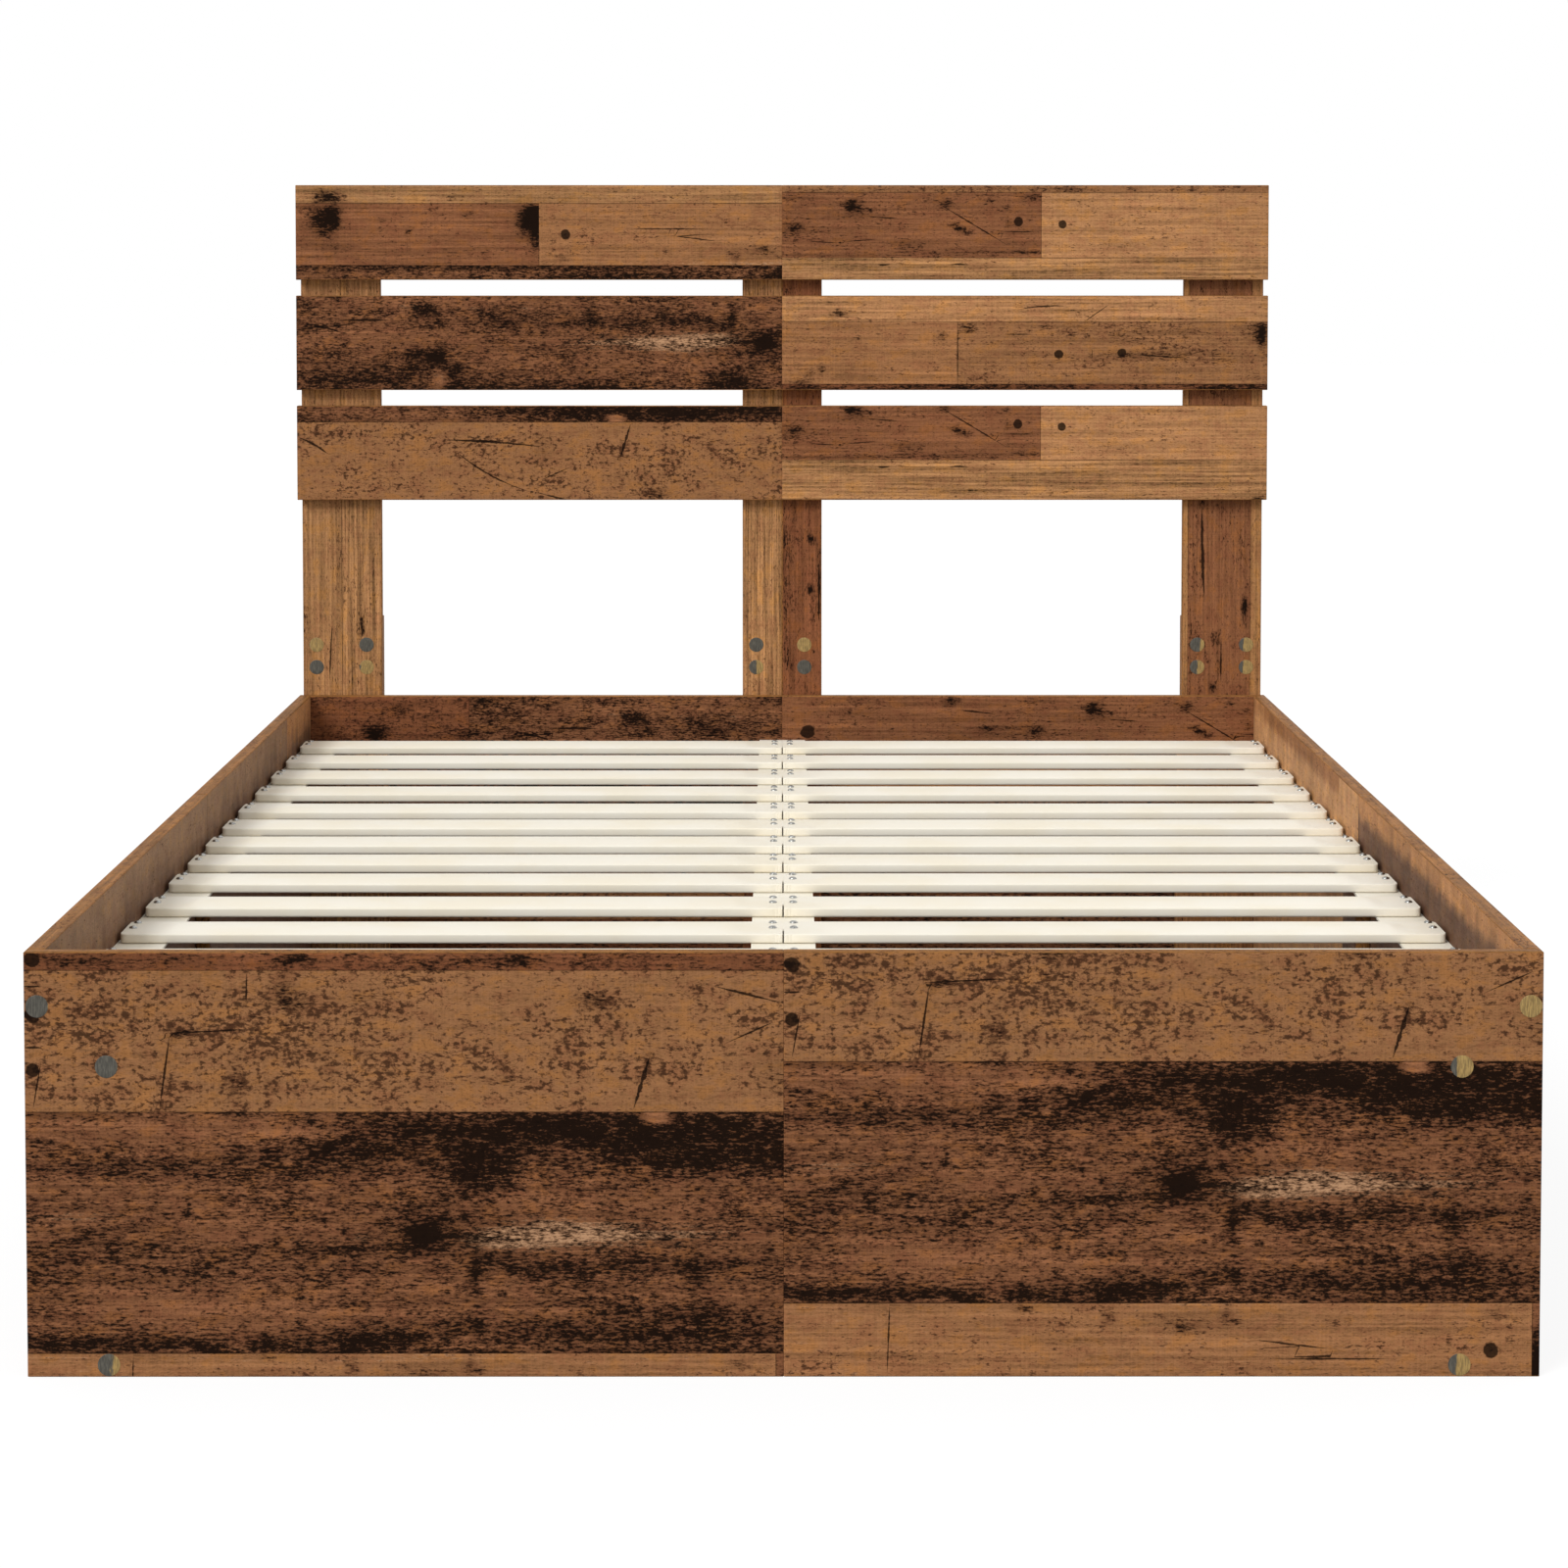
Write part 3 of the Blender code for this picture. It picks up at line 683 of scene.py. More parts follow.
class Nodes:
    """A node tree built link by link. A value is a number, a tuple or another node's socket."""

    def __init__(self, tree):
        self.tree = tree

    def node(self, kind, *inputs, **settings):
        made = self.tree.nodes.new(f"ShaderNode{kind}")
        for key, value in settings.items():
            setattr(made, key, value)
        for socket, value in zip(made.inputs, inputs):
            self.set(socket, value)
        return made

    def set(self, socket, value):
        if isinstance(value, bpy.types.NodeSocket):
            self.tree.links.new(value, socket)
        else:
            socket.default_value = (*value, 1.0) if socket.type == "RGBA" else value

    def math(self, operation, *values):
        return self.node("Math", *values, operation=operation).outputs[0]

    def times(self, first, second):
        return self.math("MULTIPLY", first, second)

    def add(self, *values):
        total = values[0]
        for value in values[1:]:
            total = self.math("ADD", total, value)
        return total

    def sway(self, value, amount):
        """(value - 0.5) * amount, so that a noise adds nothing on average."""
        return self.math("MULTIPLY_ADD", value, amount, -0.5 * amount)

    def rise(self, value, low, high):
        """0 at low, 1 at high, smooth between."""
        return self.node("MapRange", value, low, high, 0.0, 1.0, interpolation_type="SMOOTHSTEP").outputs[0]

    def mix(self, share, first, second, blend="MIX"):
        made = self.node("Mix", share, data_type="RGBA", blend_type=blend)
        self.set(made.inputs[6], first)
        self.set(made.inputs[7], second)
        return made.outputs[2]

    def cover(self, under, over, share, strength):
        """The colour under, covered by the colour over where the share is high."""
        return self.mix(self.times(share, strength), under, over)

    def stretched(self, vector, along, across, shift=0.0):
        scale, move = (along, across, 1.0), (shift, shift, 0.0)
        return self.node("VectorMath", vector, scale, move, operation="MULTIPLY_ADD").outputs[0]

    def noise(self, vector, detail, roughness=0.5, distortion=0.0, scale=1.0, dimensions="2D"):
        made = self.node("TexNoise", noise_dimensions=dimensions)
        settings = {"Vector": vector, "Scale": scale, "Detail": detail, "Roughness": roughness}
        for key, value in {**settings, "Distortion": distortion}.items():
            self.set(made.inputs[key], value)
        return made.outputs["Fac"]

    def attribute(self, name, output="Fac"):
        return self.node("Attribute", attribute_name=name).outputs[output]

    def split(self, vector):
        return self.node("SeparateXYZ", vector).outputs

    def seen_or_lit(self, lit, seen):
        """The shader seen for rays from the camera, mirrors and glass, and the shader lit for all others."""
        path = self.node("LightPath").outputs
        direct = path["Is Camera Ray"]
        for ray in ("Is Glossy Ray", "Is Transmission Ray"):
            direct = self.node("Math", direct, path[ray], operation="ADD", use_clamp=True).outputs[0]
        return self.node("MixShader", direct, lit.outputs[0], seen.outputs[0]).outputs[0]


class Shading(Nodes):
    """A new material's nodes."""

    def __init__(self, name):
        self.material = bpy.data.materials.new(name)
        self.material.use_nodes = True
        super().__init__(self.material.node_tree)
        self.shader = self.tree.nodes["Principled BSDF"]

    def finish(self, height, distance, strength, **values):
        """Sets the shader's inputs, written with _ for a space, and its bumps."""
        for key, value in values.items():
            self.set(self.shader.inputs[key.replace("_", " ")], value)
        made = self.node("Bump")
        for key, value in (("Strength", strength), ("Distance", distance), ("Height", height)):
            self.set(made.inputs[key], value)
        self.set(self.shader.inputs["Normal"], made.outputs[0])
        return self.material


# The decor's noises: how many cells fit in a metre along and across, shift, detail, roughness and distortion.
DECOR_NOISES = {
    "streaks": (110, 470, 0.0, 3, 0.70, 0.0),
    "grit": (260, 620, 8.2, 2, 0.60, 0.0),
    "lines": (7, 330, 3.1, 4, 0.60, 0.0),
    "rings": (2.2, 120, 3.7, 2, 0.50, 0.0),
    "flecks": (42, 115, 1.3, 7, 0.72, 0.0),
    "clouds": (11, 28, 2.2, 5, 0.60, 0.0),
    "tints": (34, 60, 6.4, 4, 0.65, 0.0),
    "crumbs": (165, 250, 7.9, 4, 0.62, 0.0),
    "saw": (560, 12, 9.3, 2, 0.50, 0.0),
    "loops": (26, 44, 4.6, 2, 0.50, 0.6),
}
COOL_TINT, WARM_TINT = (0.92, 0.86, 0.88), (1.10, 1.04, 0.86)


def plank_decor():
    """Worn planks: grain and saw marks, then bare streaks, pits, veins, soot, scratches and nails."""
    name = "worn_plank_decor"
    if name in bpy.data.materials:
        return bpy.data.materials[name]
    decor = look().decor
    s = Shading(name)
    uv = s.node("UVMap", uv_map="decor").outputs[0]
    soot_share, pale_share, pit_share = s.split(s.attribute("shares", "Vector"))
    grain, joint = s.attribute("grain"), s.attribute("joint")
    soot, pits, pale = tuple(decor.soot), tuple(decor.pits), tuple(decor.pale)
    streaks, grit, lines, rings, flecks, clouds, tints, crumbs, saw, loops = (
        s.noise(s.stretched(uv, along, across, shift), *settings)
        for along, across, shift, *settings in DECOR_NOISES.values()
    )

    grain_shade = s.times(s.add(s.sway(lines, 1.45), s.sway(rings, 0.65), s.sway(streaks, 0.5)), grain)
    shade = s.add(1.0, grain_shade, s.sway(streaks, 0.85), s.sway(grit, 0.65), s.sway(clouds, 0.50),
                  s.sway(saw, 0.30), s.sway(flecks, 0.62))
    wood = s.node("VectorMath", s.attribute("tone", "Vector"), operation="SCALE")
    s.set(wood.inputs["Scale"], shade)
    colour = s.mix(s.rise(tints, 0.50, 0.66), wood.outputs[0], COOL_TINT, "MULTIPLY")
    colour = s.mix(s.rise(tints, 0.48, 0.34), colour, WARM_TINT, "MULTIPLY")
    pale_level = s.add(pale_share, s.sway(streaks, 1.5), s.sway(lines, 0.9), s.sway(flecks, 0.7))
    colour = s.cover(colour, pale, s.rise(pale_level, 0.38, 0.80), 0.85)

    pit_level = s.add(crumbs, s.times(pit_share, 0.13), s.sway(clouds, 0.40), s.sway(tints, 0.45))
    pit_edge, pit_core = s.rise(pit_level, 0.64, 0.73), s.rise(pit_level, 0.71, 0.81)
    colour = s.cover(colour, pits, pit_edge, 0.54)
    colour = s.cover(colour, soot, pit_core, 0.62)
    vein = s.rise(s.math("ABSOLUTE", s.math("SUBTRACT", loops, 0.5)), 0.007, 0.002)
    vein = s.times(vein, s.rise(s.add(clouds, s.times(pit_share, 0.12)), 0.60, 0.68))
    colour = s.cover(colour, pits, vein, 0.55)

    soot_level = s.add(soot_share, s.sway(streaks, 2.1), s.sway(grit, 1.1), s.sway(flecks, 1.5),
                       s.sway(clouds, 0.6))
    smoke, tar = s.rise(soot_level, 0.08, 0.62), s.rise(soot_level, 0.50, 0.92)
    colour = s.cover(colour, pits, smoke, 0.74)
    colour = s.cover(colour, soot, tar, 0.95)

    across, along, width = s.split(s.attribute("scratch", "Vector"))
    taper = s.math("SUBTRACT", 1.0, s.times(along, along))
    ragged = s.times(s.times(width, taper), s.math("MULTIPLY_ADD", flecks, 3.2, -0.70))
    cut = s.rise(s.math("SUBTRACT", ragged, s.math("ABSOLUTE", across)), -0.0003, 0.0003)
    colour = s.cover(colour, soot, cut, 0.9)
    offset = s.node("VectorMath", s.attribute("nail", "Vector"), operation="LENGTH").outputs["Value"]
    nail = s.rise(s.add(offset, s.sway(flecks, 0.8)), 1.08, 0.88)
    colour = s.cover(colour, soot, nail, 0.9)
    colour = s.cover(colour, soot, joint, 0.8)

    roughness = s.add(0.52, s.sway(flecks, 0.25), s.times(tar, 0.10))
    hollow = s.add(s.times(tar, 0.35), s.times(pit_edge, 0.4), cut, joint)
    height = s.add(s.times(streaks, 0.6), s.times(flecks, 0.3), s.times(hollow, -0.6))
    return s.finish(height, 0.0003, 0.4, Base_Color=colour, Roughness=roughness, Specular_IOR_Level=0.02)


def cream_coat():
    """Powder coat: an even cream with faint clouding, a fine orange peel and slightly varied gloss."""
    name = "cream_powder_coat"
    if name in bpy.data.materials:
        return bpy.data.materials[name]
    steel = look().steel
    s = Shading(name)
    place = s.node("TexCoord").outputs["Object"]
    clouds = s.noise(place, 3.0, 0.55, scale=14.0, dimensions="3D")
    peel = s.noise(place, 2.0, 0.55, scale=900.0, dimensions="3D")
    cream = tuple(steel.cream)
    warmer = (cream[0] * 0.98, cream[1] * 0.955, cream[2] * 0.90)
    colour = s.mix(s.rise(clouds, 0.35, 0.70), cream, warmer)
    roughness = s.add(steel.roughness, s.sway(clouds, 0.10), s.sway(peel, 0.08))
    return s.finish(peel, 0.00006, 0.25, Base_Color=colour, Roughness=roughness, Specular_IOR_Level=0.18)


def scaled(shade, factor):
    """A colour made darker or lighter, at most to 1."""
    return tuple(min(1, factor * share) for share in shade)


def zinc():
    """Zinc-plated screw heads: brushed grey metal with darker clouds."""
    s = Shading("zinc_screw")
    worn = s.noise(s.node("TexCoord").outputs["Object"], 3.0, scale=700.0, dimensions="3D")
    screw = tuple(look().steel.screw)
    colour = s.mix(s.rise(worn, 0.35, 0.65), scaled(screw, 0.45), screw)
    roughness = s.add(0.32, s.sway(worn, 0.25))
    return s.finish(worn, 0.0001, 0.2, Base_Color=colour, Metallic=1.0, Roughness=roughness)


def sticker_print():
    """Sticker decor: a dark and a golden part that meet at a ragged line, with fine streaks over both."""
    sticker = look().sticker
    s = Shading("sticker_decor")
    uv = s.node("UVMap", uv_map="decor").outputs[0]
    ragged = s.noise(s.stretched(uv, 260, 60), 4, 0.6)
    streaks = s.noise(s.stretched(uv, 900, 120), 3, 0.6)
    past_split = s.math("SUBTRACT", s.split(uv)[0], s.attribute("print"))
    golden = s.rise(s.add(past_split, s.sway(ragged, 0.010)), -0.0008, 0.0008)
    dark, gold = tuple(sticker.dark), tuple(sticker.gold)
    dark_wood = s.mix(s.rise(streaks, 0.3, 0.75), scaled(dark, 0.6), scaled(dark, 1.5))
    gold_wood = s.mix(s.rise(streaks, 0.35, 0.7), scaled(gold, 0.5), gold)
    colour, roughness = s.mix(golden, dark_wood, gold_wood), s.add(0.45, s.sway(streaks, 0.2))
    return s.finish(streaks, 0.0001, 0.3, Base_Color=colour, Roughness=roughness, Specular_IOR_Level=0.35)


# A window on the decor is its sheet, its start along and across in metres, and its sign. Some boards show
# sheet A this much lower.
LOWERED = -0.0415


class BED_OT_foot_panels(Operator):
    """Draw the two foot boards, whose decor is one print in two places"""

    bl_idname = "bed.foot_panels"
    bl_label = "Foot panels"

    def execute(self, context):
        half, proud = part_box("foot_panel_right")[1].x, look().sticker.thickness
        inside = ("B", 0.10, -0.28, 1)
        add_board("foot_panel_left", ALONG_X, ("A", half, 0, 1), inside, setback=proud)
        add_board("foot_panel_right", ALONG_X, ("A", 0, LOWERED, 1), inside, setback=proud)
        return {"FINISHED"}


class BED_OT_head_panels(Operator):
    """Draw the two boards at the head end of the base"""

    bl_idname = "bed.head_panels"
    bl_label = "Head panels"

    def execute(self, context):
        behind = ("A", 0.62, -0.02, 1)
        add_board("head_panel_left", ALONG_X, ("A", 0.5672, 0.3976, -1), behind)
        add_board("head_panel_right", ALONG_X, ("B", -0.3085, -0.2397, 1), behind)
        return {"FINISHED"}


class BED_OT_side_rails(Operator):
    """Draw the four boards of the two long sides"""

    bl_idname = "bed.side_rails"
    bl_label = "Side rails"

    def execute(self, context):
        for side, sign in SIDES:
            inside = (f"rail_{side}", 0, 0, 1)
            for part, start in (("front", 1.03), ("rear", 0.02)):
                outside = ("A", start, 0 if sign > 0 else LOWERED, 1)
                node = f"side_rail_{side}_{part}"
                add_board(node, ALONG_Y, inside, outside, coarse=1.4, front_high=sign < 0)
        return {"FINISHED"}


class BED_OT_headboard_boards(Operator):
    """Draw the three rows of headboard boards"""

    bl_idname = "bed.headboard_boards"
    bl_label = "Headboard boards"

    def execute(self, context):
        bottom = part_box("headboard_board_1_right")[0].z
        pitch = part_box("headboard_board_2_right")[0].z - bottom
        for row, (sheet, start) in enumerate((("B", -0.0230), ("C", 0), ("B", 0))):
            behind = ("A", 0.35, -0.55 + 0.09 * row, 1)
            right = (sheet, 0, start - bottom - row * pitch, 1)
            add_board(f"headboard_board_{row + 1}_left", ALONG_X, ("A", 0.3025, 0.919, -1), behind)
            add_board(f"headboard_board_{row + 1}_right", ALONG_X, right, behind)
        return {"FINISHED"}


class BED_OT_headboard_posts(Operator):
    """Draw the posts of the headboard and the uprights behind them"""

    bl_idname = "bed.headboard_posts"
    bl_label = "Headboard posts"

    def execute(self, context):
        left, right = -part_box("headboard_post_left")[0].x, 0.50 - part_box("headboard_post_right")[0].x
        for node, start in (("left", left), ("middle_left", 0.20), ("middle_right", 0.30), ("right", right)):
            window = ("posts", 0, start, 1)
            add_board(f"headboard_post_{node}", ALONG_Z, window, window)
        for node, start in (("left", left), ("middle", 0.35), ("right", right)):
            window = ("posts", 0.4, start, 1)
            add_board(f"rear_upright_{node}", ALONG_Z, window, window, coarse=2)
        return {"FINISHED"}


class BED_OT_inner_boards(Operator):
    """Draw the battens in the corners and under the beam, and the boards behind the rails' seams"""

    bl_idname = "bed.inner_boards"
    bl_label = "Battens and splice boards"

    def execute(self, context):
        for end in ("foot", "head"):
            nodes = (f"corner_batten_{end}_left", f"centre_batten_{end}", f"corner_batten_{end}_right")
            for node, start in zip(nodes, (0.62, 0.35, -0.1)):
                window = ("posts", 0.2, start, 1)
                add_board(node, ALONG_Z, window, window, coarse=2)
        for side, sign in SIDES:
            window = (f"rail_{side}", 0, 0, 1)
            add_board(f"rail_splice_board_{side}", ALONG_Y, window, window, coarse=2, front_high=sign < 0)
        return {"FINISHED"}


# Along a slat, in metres from its end at the joint: the pressed ribs and how far they reach, then the eased
# edge, which is drawn in by this share of its length.
RIBS, RIB_REACH = (0.0040, 0.0066), 0.0008
JOINT_EASE, JOINT_DRAW = 0.0006, 0.6
# Sections on the flat tabs, in metres from the end at the joint and from the end at the rail, and sections on
# the round corner and on the ramp, in shares of each.
FLAT_JOINT, FLAT_RAIL = 0.0150, 0.0180
CORNER_STEPS = (0, 0.05, 0.15, 0.3, 0.55, 1.0)
RAMP_STEPS = (0.15, 0.32, 0.5, 0.68, 0.85, 1.0)
# How many points the lower and upper bends and half the top have, and how many sections the middle has.
BEND_POINTS, TOP_POINTS, MIDDLE_SECTIONS = (4, 7), 8, 12
SLAT_SHARP = 35


def slat_outline(shape, half, rise):
    """The outer section (y, z) of a slat, and each point's share of the crown.

    It runs over lip, lower bend, wall, upper bend and top, and back down on the other side. Bends are quarter
    circles. The share of the crown is 1 - (y / flat)^2 on the top and 0 elsewhere.
    """
    low_turn, high_turn = (np.radians(np.linspace(0, 90, count)) for count in BEND_POINTS)
    lower, upper = shape.lip_radius, shape.edge_radius
    flat = half - upper
    lower = np.stack((-half + lower * (1 - np.sin(low_turn)), lower * (1 - np.cos(low_turn))), 1)
    upper = np.stack((-half + upper * (1 - np.cos(high_turn)), rise - upper * (1 - np.sin(high_turn))), 1)
    top_y = np.linspace(-flat, 0, TOP_POINTS)[1:]
    top = np.stack((top_y, np.full(len(top_y), rise)), 1)
    half_line = np.concatenate((((-half + shape.lip, 0.0),), lower, upper, top))
    line = np.concatenate((half_line, half_line[-2::-1] * (-1, 1)))
    crown = np.where(line[:, 1] > rise - 1e-9, 1 - (line[:, 0] / flat) ** 2, 0)
    return line, np.clip(crown, 0, 1)


def slat_stations(shape, whole):
    """Places along a slat from its joint end: close at the ribs, the ramps and the round corners."""
    ribs = [rib + side for rib in RIBS for side in (-RIB_REACH, 0, RIB_REACH)]
    joint_end = np.array((0, JOINT_EASE, *ribs, FLAT_JOINT, shape.tab))
    rail_end = np.append(shape.corner_radius * np.array(CORNER_STEPS), (FLAT_RAIL, shape.tab))
    ramp = shape.tab + shape.ramp * np.array(RAMP_STEPS)
    middle = np.linspace(shape.tab + shape.ramp, whole - shape.tab - shape.ramp, MIDDLE_SECTIONS)[1:-1]
    return np.concatenate((joint_end, ramp, middle, whole - ramp[::-1], whole - rail_end[::-1]))


def slat_mesh(name, low, high, shape, joint_low):
    """A bent sheet: its outline carried along X, drawn in by a quarter circle at the rail end.

    The inner skin is the outline moved in by the sheet along its own normals, and strips close both ends. The
    crown rises over the ramps by a smooth step. Ribs push the walls in.
    """
    half, rise = (high.y - low.y) / 2, high.z - low.z - shape.crown
    line, crown = slat_outline(shape, half, rise)
    step = np.gradient(line, axis=0)
    normal = np.stack((-step[:, 1], step[:, 0]), 1)
    normal /= np.linalg.norm(normal, axis=1)[:, None]
    along = slat_stations(shape, high.x - low.x)
    to_rail = high.x - low.x - along
    corner = shape.corner_radius
    drawn = np.clip(corner - to_rail, 0, None)
    short = corner - np.sqrt(np.clip(corner ** 2 - drawn ** 2, 0, None))
    joint_short = np.clip(JOINT_EASE - along, 0, None) * JOINT_DRAW
    depth = (half - short - joint_short) / half
    ramped = np.clip((np.minimum(along, to_rail) - shape.tab) / shape.ramp, 0, 1)
    ramped = ramped * ramped * (3 - 2 * ramped)
    dents = np.isin(np.round(along, 5), RIBS) * shape.press_depth
    skins = []
    for skin in (line, line - normal * shape.sheet):
        wall = (skin[:, 1] < rise - shape.edge_radius * 0.5) & (skin[:, 1] > shape.lip_radius * 0.5)
        y = skin[None, :, 0] * depth[:, None] - np.sign(skin[None, :, 0]) * wall[None] * dents[:, None]
        z = skin[None, :, 1] + shape.crown * ramped[:, None] * crown[None]
        skins.append(np.stack((y, z), -1))
    section = np.concatenate((skins[0], skins[1][:, ::-1]), 1)
    loop = section.shape[1]
    points = np.zeros((len(along), loop, 3))
    points[..., 0] = (low.x + along if joint_low else high.x - along)[:, None]
    points[..., 1] = (low.y + high.y) / 2 + section[..., 0]
    points[..., 2] = low.z + section[..., 1]
    k = np.arange(len(line) - 1)
    start = np.stack((k, k + 1, loop - 2 - k, loop - 1 - k), 1)
    faces = np.concatenate((walls(len(along), loop), start, start[:, ::-1] + (len(along) - 1) * loop))
    points = points.reshape(-1, 3)
    return new_mesh(name, points, outward(points, faces), SLAT_SHARP)


class BED_OT_slats(Operator):
    """Draw the bent steel slats with their crown, flat tabs, round corners and pressed ribs"""

    bl_idname = "bed.slats"
    bl_label = "Slats"

    def execute(self, context):
        for node in SLAT_NODES:
            mesh = slat_mesh(f"{node}_bent", *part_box(node), look().slat, node.endswith("right"))
            add_piece(f"{node}_bent", mesh, cream_coat(), STEEL_SLOT, node)
        return {"FINISHED"}


def turned(rings, radius, height, sides):
    """Points and faces of a turned shape. A ring is (wide, high), in shares of the radius and of the height.

    x = radius * wide * cos(t), y = radius * wide * sin(t), z = height * high. Fans of quads close both ends.
    """
    turns = np.linspace(0, 2 * np.pi, sides, endpoint=False)
    wide, high = (np.array(shares)[:, None] for shares in zip(*rings))
    out = radius * wide
    points = np.stack((out * np.cos(turns), out * np.sin(turns), np.tile(height * high, sides)), -1)
    k = np.arange(1, sides - 2, 2)
    fan = np.stack((k, k + 1, k + 2, np.zeros_like(k)), 1)
    faces = np.concatenate((walls(len(rings), sides), fan, fan[:, ::-1] + (len(rings) - 1) * sides))
    return points.reshape(-1, 3), faces


# A domed head over a short skirt, with a socket in its middle.
SCREW_RINGS = ((1, 0), *((math.sin(t), 0.25 + 0.75 * math.cos(t)) for t in np.radians((90, 62, 34))),
               (0.16, 1), (0.12, 0.72))
SCREW_SIDES, SCREW_SHARP = 12, 45


class BED_OT_slat_screws(Operator):
    """Draw the two domed screw heads at each end of each slat"""

    bl_idname = "bed.slat_screws"
    bl_label = "Slat screws"

    def execute(self, context):
        screw, material = look().screw, zinc()
        head, faces = turned(SCREW_RINGS, screw.diameter / 2, screw.height, SCREW_SIDES)
        groups = {"rail_left": [], "rail_right": [], "centre": []}
        for node in SLAT_NODES:
            low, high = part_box(node)
            top, mid = high.z - look().slat.crown, (low.y + high.y) / 2
            left = node.endswith("left")
            rail = low.x + screw.rail_inset if left else high.x - screw.rail_inset
            centre = high.x - screw.centre_inset if left else low.x + screw.centre_inset
            for y in (mid - screw.setback, mid - screw.setback + screw.spread):
                groups["rail_left" if left else "rail_right"].append((rail, y, top))
                groups["centre"].append((centre, y, top))
        for group, places in groups.items():
            points = (np.array(places)[:, None] + head[None]).reshape(-1, 3)
            all_faces = (faces[None] + (np.arange(len(places)) * len(head))[:, None, None]).reshape(-1, 4)
            mesh = new_mesh(f"slat_screws_{group}", points, outward(points, all_faces), SCREW_SHARP)
            add_piece(f"slat_screws_{group}", mesh, material, STEEL_SLOT)
        return {"FINISHED"}


# Stickers on the posts: name, post, X, then where gold begins across the upper one and the lower one, in
# radii (1 = no gold, -1 = all gold).
POST_STICKERS = (
    ("left_outer", "left", -0.5959, -0.9, 1.1), ("left_inner", "left", -0.5320, 1.1, -0.9),
    ("middle_left", "middle_left", -0.0331, 1.1, 0.05), ("middle_right", "middle_right", 0.0283, -1.1, 1.1),
    ("right_inner", "right", 0.5315, 0.5, 0.1), ("right_outer", "right", 0.5940, -0.3, -0.4),
)
UPPER_HEIGHT, LOWER_HEIGHT = 0.4145, 0.3857
# Stickers on the foot panels: side, row, X, height, then where gold begins.
FOOT_STICKERS = (
    ("left", "top", -0.6070, 0.3055, 1.1), ("left", "upper", -0.5510, 0.2560, 1.0),
    ("left", "lower", -0.5510, 0.0100, 0.3), ("right", "top", 0.6075, 0.3055, -1.1),
    ("right", "upper", 0.5520, 0.2560, -0.5), ("right", "lower", 0.5520, 0.0100, -0.2),
)
STICKER_RINGS = ((1, 0), (1, 0.5), (0.985, 0.9), (0.95, 1), (0.6, 1), (0.25, 1), (0.02, 1))
STICKER_SIDES, STICKER_SHARP = 32, 40
# Each sticker's print is moved by this many times its X, so that the streaks differ from place to place.
STICKER_SHIFT = 3


class BED_OT_stickers(Operator):
    """Draw the round decor stickers over the screws of the posts and the foot panels"""

    bl_idname = "bed.stickers"
    bl_label = "Stickers"

    def execute(self, context):
        radius, proud = look().sticker.diameter / 2, look().sticker.thickness
        disc, disc_faces = turned(STICKER_RINGS, radius, proud, STICKER_SIDES)
        material = sticker_print()
        placed = []
        for name, post, x, upper, lower in POST_STICKERS:
            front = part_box(f"headboard_post_{post}")[0].y
            placed.append((f"sticker_post_{name}_upper", x, front, UPPER_HEIGHT, upper))
            placed.append((f"sticker_post_{name}_lower", x, front, LOWER_HEIGHT, lower))
        for side, row, x, z, gold_from in FOOT_STICKERS:
            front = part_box(f"foot_panel_{side}")[0].y + proud
            placed.append((f"sticker_foot_{side}_{row}", x, front, z, gold_from))
        for name, x, y, z, gold_from in placed:
            points = (x, y, z) + disc[:, (0, 2, 1)] * (1, -1, 1)
            faces = outward(points, disc_faces)
            mesh = new_mesh(name, points, faces, STICKER_SHARP)
            corner = faces.ravel()
            add_map(mesh, disc[corner, :2] + (0, STICKER_SHIFT * x))
            add_attribute(mesh, "print", np.full((len(corner), 1), gold_from * radius))
            add_piece(name, mesh, material, WOOD_SLOT)
        return {"FINISHED"}


class BED_OT_steel_carriers(Operator):
    """Coat the ledges, the centre beam and its legs, whose solids keep their shape"""

    bl_idname = "bed.steel_carriers"
    bl_label = "Ledges, beam and legs"

    def execute(self, context):
        for node in ("side_ledge_left", "side_ledge_right", "centre_beam", "centre_leg_1", "centre_leg_2"):
            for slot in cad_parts[node].material_slots:
                slot.material = cream_coat()
        return {"FINISHED"}


# The lights: the direction from the object towards each, and its width in degrees.
KEY_TOWARD, KEY_WIDTH = (-0.456, -0.671, 0.584), 20
FILL_TOWARD, FILL_WIDTH = (0.50, 0.75, 0.42), 60
WHITE = (1, 1, 1)
FLOOR_REACH, FLOOR_CELLS = 30.0, 12
# What the camera sees of the floor: a dull face that takes the shadow, on an even glow.
FLOOR_SEEN, FLOOR_GLOW = (0.15, 0.15, 0.15), 0.86
# The camera: lens and sensor in mm, shift, X, distance from the foot, height, pitch and turn in degrees.
LENS, SENSOR, SHIFT = 99.133, 36.0, -0.17
CAMERA_X, CAMERA_DISTANCE, CAMERA_HEIGHT = -0.0034, 3.4773, 0.9191
CAMERA_PITCH, CAMERA_TURN = 3.5466, -0.0601


def add_light(name, toward, strength, width):
    """A sun seen from the object along the direction toward, as wide as a soft box."""
    data = bpy.data.lights.new(name, "SUN")
    data.energy, data.angle = strength, math.radians(width)
    lamp = bpy.data.objects.new(name, data)
    x, y, z = lamp.location = toward
    lamp.rotation_euler = (math.atan2(math.hypot(x, y), z), 0, math.atan2(x, -y))
    bpy.context.scene.collection.objects.link(lamp)


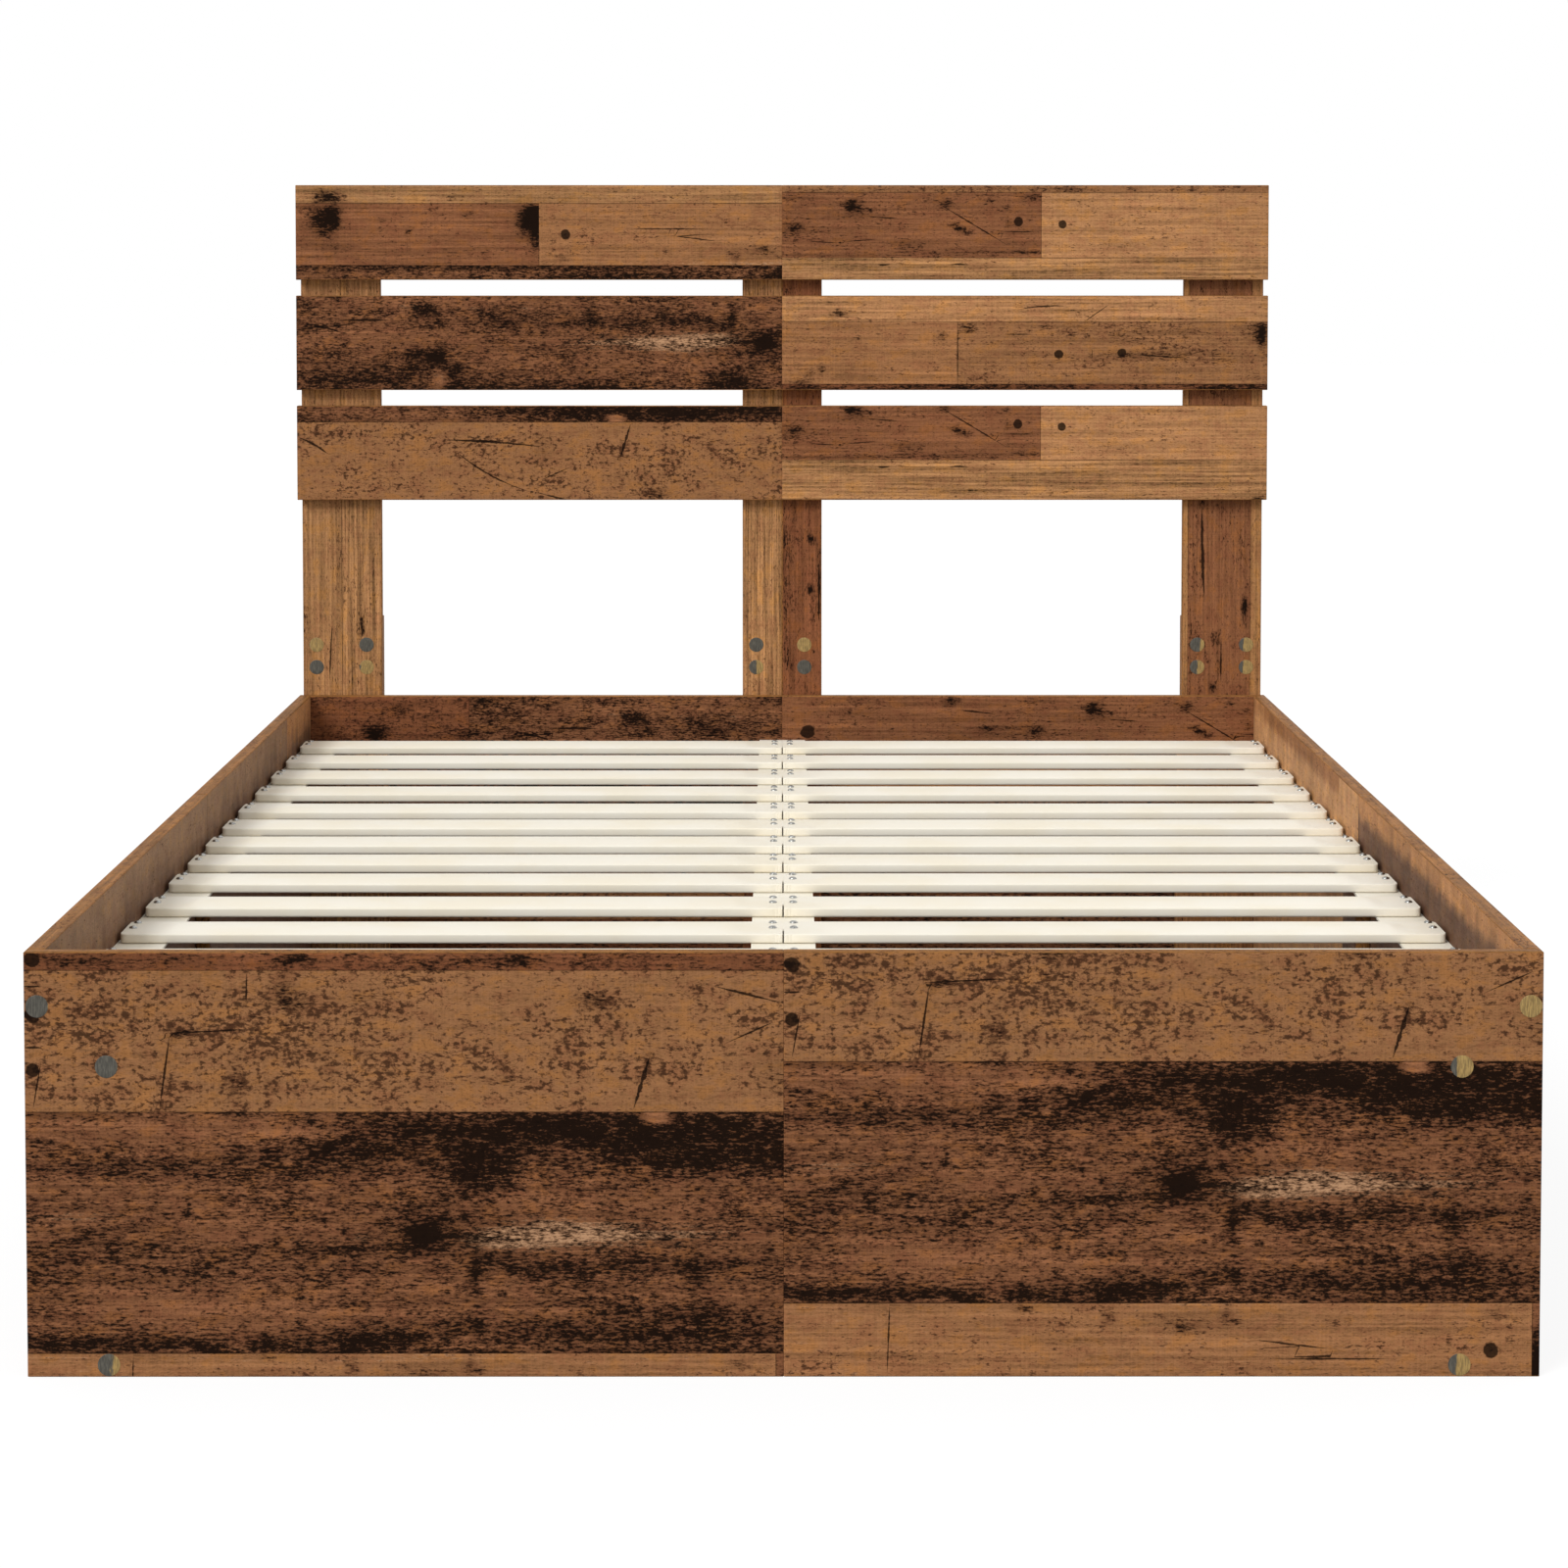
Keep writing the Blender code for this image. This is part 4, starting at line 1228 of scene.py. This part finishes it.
class BED_OT_studio(Operator):
    """Set up the pale floor, the soft lights, the white surroundings and the camera"""

    bl_idname = "bed.studio"
    bl_label = "Studio"

    def execute(self, context):
        self.add_floor()
        self.add_world()
        add_light("key_light", KEY_TOWARD, look().stage.key, KEY_WIDTH)
        add_light("fill_light", FILL_TOWARD, look().stage.fill, FILL_WIDTH)
        self.add_camera()
        context.scene.view_settings.view_transform = "Standard"
        return {"FINISHED"}

    def add_floor(self):
        """A square grid at height 0."""
        lines = np.linspace(-FLOOR_REACH, FLOOR_REACH, FLOOR_CELLS + 1)
        x, y = np.meshgrid(lines, lines, indexing="ij")
        points = np.stack((x, y, np.zeros_like(x)), -1).reshape(-1, 3)
        i, j = np.meshgrid(np.arange(FLOOR_CELLS), np.arange(FLOOR_CELLS), indexing="ij")
        first = (i * len(lines) + j).ravel()
        faces = np.stack((first, first + len(lines), first + len(lines) + 1, first + 1), 1)
        mesh = bpy.data.meshes.new("studio_floor")
        mesh.from_pydata(points.tolist(), [], faces.tolist())
        floor = bpy.data.objects.new("studio_floor", mesh)
        bpy.context.scene.collection.objects.link(floor)
        s = Shading("studio_floor")
        s.tree.nodes.remove(s.shader)
        lit, shown = s.node("BsdfDiffuse", tuple(look().stage.floor)), s.node("BsdfDiffuse", FLOOR_SEEN)
        glow = s.node("Emission", WHITE, FLOOR_GLOW)
        seen = s.node("AddShader", shown.outputs[0], glow.outputs[0])
        s.set(s.tree.nodes["Material Output"].inputs["Surface"], s.seen_or_lit(lit, seen))
        mesh.materials.append(s.material)

    def add_world(self):
        """Even light all round, shown as plain white."""
        world = bpy.data.worlds.new("studio")
        bpy.context.scene.world = world
        world.use_nodes = True
        world.node_tree.nodes.clear()
        w = Nodes(world.node_tree)
        around, white = w.node("Background", WHITE, look().stage.sky), w.node("Background", WHITE, 1.0)
        w.node("OutputWorld", w.seen_or_lit(around, white))

    def add_camera(self):
        """The photograph's level camera is pitched a little here, so that its shift stays small."""
        data = bpy.data.cameras.new("camera")
        data.sensor_width, data.lens, data.shift_y = SENSOR, LENS, SHIFT
        camera = bpy.data.objects.new("camera", data)
        camera.location = (CAMERA_X, CAD_BOX[0].y - CAMERA_DISTANCE, CAMERA_HEIGHT)
        camera.rotation_euler = (math.radians(90 - CAMERA_PITCH), 0, math.radians(CAMERA_TURN))
        bpy.context.scene.collection.objects.link(camera)
        bpy.context.scene.camera = camera


OPERATORS = (
    BED_OT_foot_panels, BED_OT_head_panels, BED_OT_side_rails, BED_OT_headboard_boards,
    BED_OT_headboard_posts, BED_OT_inner_boards, BED_OT_slats, BED_OT_slat_screws, BED_OT_stickers,
    BED_OT_steel_carriers, BED_OT_studio,
)


class BED_PT_dressing(Panel):
    """Buttons and sizes of the dressing"""

    bl_idname = "BED_PT_dressing"
    bl_label = "Bed Frame"
    bl_space_type = "VIEW_3D"
    bl_region_type = "UI"
    bl_category = "Bed Frame"

    def draw(self, context):
        for operator in OPERATORS:
            self.layout.operator(operator.bl_idname)
        for name in BedDressing.__annotations__:
            group = getattr(look(), name)
            box = self.layout.box()
            box.label(text=name.capitalize())
            for key in group.__annotations__:
                box.prop(group, key)


CLASSES = (
    DecorLook, SteelLook, SlatShape, ScrewShape, StickerShape, StageLook, BedDressing,
    *OPERATORS, BED_PT_dressing,
)


def register():
    for item in CLASSES:
        bpy.utils.register_class(item)
    bpy.types.Scene.bed_dressing = PointerProperty(type=BedDressing)


def unregister():
    del bpy.types.Scene.bed_dressing
    for item in reversed(CLASSES):
        bpy.utils.unregister_class(item)


def main():
    register()
    for operator in OPERATORS:
        group, name = operator.bl_idname.split(".")
        getattr(getattr(bpy.ops, group), name)()


if __name__ == "__main__":
    main()
